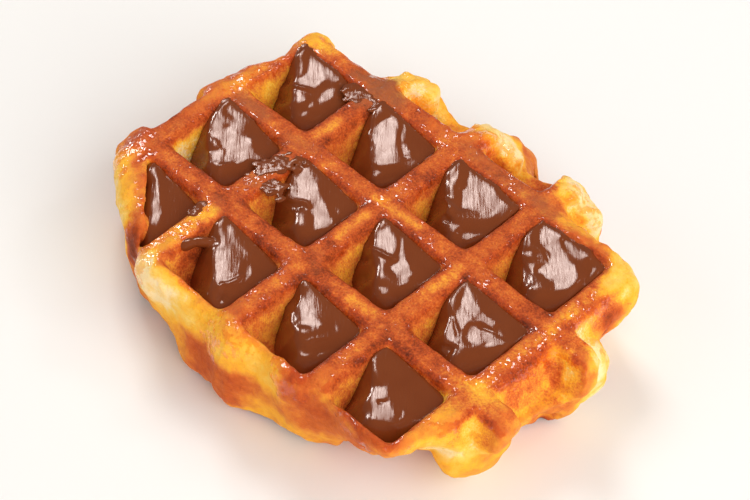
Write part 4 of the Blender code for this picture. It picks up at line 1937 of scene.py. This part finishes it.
            facet((1.2, 4.8), (2.4, 3.8), (4.8, 3.4), (4.6, 4.0), (2.6, 4.3), (1.6, 5.0)),
            facet(
                (-0.2, 5.2), (-0.4, 6.0), (0.4, 6.6), (1.8, 6.4), (1.6, 7.2), (0.4, 7.9), (-0.8, 7.2),
                (-1.1, 6.2),
            ),
            facet(
                (2.9, 6.6), (3.6, 6.2), (4.2, 6.6), (5.2, 6.2), (4.8, 7.0), (3.6, 7.4), (2.6, 8.2),
                (2.4, 7.8),
            ),
        ),
        lips=(Lip(((-0.6, 4.8), (2.0, 3.2), (6.0, 2.6)), 0.35, 0.8, 0.5),),
    ),
    Dollop(
        column=3, row=2, edge=-4.4, front=6.0, nose=9.0, belly=1.8,
        facets=(
            facet(
                (-0.2, -12.4), (1.0, -12.6), (2.4, -11.4), (4.0, -9.6), (3.6, -8.4), (3.2, -7.0),
                (4.0, -5.0), (4.6, -3.4), (4.8, -1.6), (5.8, 0.0), (6.4, 1.6), (6.6, 3.0), (6.0, 4.8),
                (4.6, 6.0), (3.0, 6.4), (1.6, 5.6), (1.4, 3.4), (1.0, 1.0), (0.6, 0.0), (0.0, 2.6),
                (-0.6, 2.0), (-1.0, 0.6), (-2.0, 0.6), (-1.2, -1.6), (-2.0, -4.6), (-1.4, -4.0),
                (-0.6, -2.2), (0.2, -1.4), (0.8, -3.0), (0.4, -5.0), (-0.2, -7.4), (-1.0, -7.0),
                (-1.2, -9.0), (-0.6, -11.0),
            ),
            facet(
                (3.6, -7.4), (5.0, -8.0), (6.4, -7.2), (9.0, -6.0), (9.6, -4.0), (8.8, -2.2), (7.0, -2.2),
                (5.0, -3.4), (4.2, -5.0),
            ),
            facet(
                (9.6, 0.6), (10.6, 0.4), (10.2, 2.0), (8.8, 4.8), (7.6, 6.2), (6.4, 6.8), (7.6, 5.0),
                (8.0, 3.4),
            ),
            facet((-4.0, -1.8), (-3.0, -1.8), (-3.4, 0.0), (-3.8, 0.4)),
            facet((-4.9, -0.6), (-4.6, 0.0), (-4.1, 3.0), (-4.2, 4.6), (-4.7, 4.4), (-4.8, 2.0)),
            facet((-4.4, -4.6), (-3.0, -5.0), (-4.0, -3.6), (-5.0, -3.0)),
            facet((-4.2, 7.2), (-3.4, 7.6), (-3.2, 8.6), (-3.8, 8.8)),
            facet((-2.8, 9.6), (-0.8, 9.9), (1.2, 9.3), (-0.2, 10.2), (-0.8, 11.4), (-1.0, 10.6)),
        ),
        lips=(
            Lip(((3.4, -8.4), (4.8, -5.4), (6.2, -4.0), (6.0, -3.0)), -0.4, 0.35, 1.0),
            Lip(((-0.4, -7.0), (0.3, -4.0), (0.6, -1.4)), -0.5, 0.4, 1.0),
        ),
    ),
    Dollop(
        column=3, row=1, edge=-4.0, front=4.2, nose=9.2,
        facets=(
            facet(
                (0.2, -12.6), (0.6, -10.0), (1.4, -8.4), (2.2, -6.6), (2.6, -4.4), (3.8, -3.2),
                (5.0, -2.4), (5.6, -1.2), (5.0, -0.2), (4.0, -0.8), (3.0, -2.0), (1.6, -2.2), (1.0, -3.4),
                (0.2, -2.4), (-0.6, -1.6), (-1.4, 0.0), (-2.2, -1.8), (-2.4, -4.0), (-2.0, -6.0),
                (-1.6, -8.0), (-0.8, -9.4), (-0.3, -11.4),
            ),
            facet(
                (0.8, -2.4), (1.4, -0.6), (2.2, 0.6), (4.6, 1.8), (6.4, 3.2), (7.8, 4.2), (7.0, 4.8),
                (5.0, 5.0), (2.4, 4.3), (3.2, 3.4), (1.2, 3.2), (-0.4, 2.6), (-1.0, 1.6), (-0.6, 0.0),
                (0.0, -1.2),
            ),
            facet(
                (-4.2, -2.4), (-3.4, -1.4), (-3.0, 0.0), (-2.8, 1.6), (-3.4, 3.2), (-5.0, 3.6),
                (-5.1, 2.0),
            ),
            facet((-4.4, 4.4), (-3.9, 4.8), (-4.2, 5.6), (-5.4, 7.0), (-6.0, 6.6), (-5.2, 5.6)),
            facet((-1.8, 10.2), (0.0, 9.2), (2.0, 8.6), (4.0, 8.2), (3.0, 9.0), (0.8, 9.6), (-1.6, 10.7)),
            facet((6.0, 0.8), (7.0, 1.6), (6.4, 2.2), (5.6, 1.0)),
        ),
        lips=(
            Lip(((-3.2, -4.6), (-2.9, -2.0), (-2.4, 0.0), (-2.5, 3.4)), -0.45, 0.35, 1.0),
            Lip(((1.0, -3.0), (2.4, -0.8), (5.0, 0.8)), -0.4, 0.5, 0.6),
        ),
        dents=(
            Dent(5.5, -0.3, 0.5, 0.6),
            Dent(0.8, -4.6, 0.5, 0.3),
        ),
    ),
    Dollop(
        column=3, row=0, edge=-3.6, edge_lean=-0.1, belly=1.5, ridge=1.0, apex=0.12, crown=-0.8,
        dull_right=-0.28, front=6.5, front_slope=0.35, nose=8.0, nose_slope=1.6,
        facets=(
            facet(
                (-2.2, -2.6), (-1.2, -2.2), (-0.4, -0.8), (0.0, 1.2), (-0.6, 1.6), (-1.6, 0.4),
                (-2.6, -0.2), (-3.4, 0.4), (-3.0, -1.2),
            ),
            facet(
                (-3.2, 0.4), (-2.6, 0.8), (-2.4, 2.4), (-2.0, 4.2), (-1.4, 5.6), (-0.4, 6.6), (0.6, 7.2),
                (1.4, 6.8), (2.4, 5.6), (2.7, 4.0), (3.1, 4.6), (2.9, 6.0), (1.8, 7.2), (0.8, 7.8),
                (-0.4, 7.4), (-1.6, 6.4), (-2.4, 4.8), (-2.8, 3.0),
            ),
            facet(
                (0.0, 1.6), (0.6, 3.4), (1.2, 5.4), (0.8, 7.0), (-0.2, 6.9), (-1.4, 5.2), (-2.2, 3.0),
                (-1.2, 2.0),
            ),
            facet((1.5, 8.6), (2.6, 7.8), (4.2, 6.8), (3.4, 7.7), (2.0, 8.7)),
        ),
        lips=(Lip(((-2.4, 1.4), (-1.0, 1.8), (0.2, 1.3)), -0.5, 0.45, 1.0),),
    ),
)


def dress(piece: bpy.types.Object, material: bpy.types.Material, node: str) -> None:
    """Gives a finished piece its material and its place in the frame.

    Args:
        piece: the piece.
        material: what it is made of.
        node: the solid that it stands for.
    """
    piece.data.materials.clear()
    piece.data.materials.append(material)
    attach(piece, "root")
    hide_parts(node)
    LOG.info("%s has %d faces", piece.name, len(piece.data.polygons))


def main() -> None:
    """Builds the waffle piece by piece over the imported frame."""
    logging.basicConfig(level=logging.INFO, format="%(name)s: %(message)s")
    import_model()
    iron = Iron()
    dress(Dough(iron).build(), ToastedCrust().material(), "waffle")
    studio = Studio()
    spread = SoftChocolate().material()
    for plan in DOLLOPS:
        dress(plan.build(iron, studio), spread, f"chocolate_{plan.place}")

    studio.floor()
    studio.lamps(Vector((0.0, 0.0, iron.thickness)))
    studio.camera(iron)
    bpy.context.scene.view_settings.view_transform = "Standard"


if __name__ == "__main__":
    main()
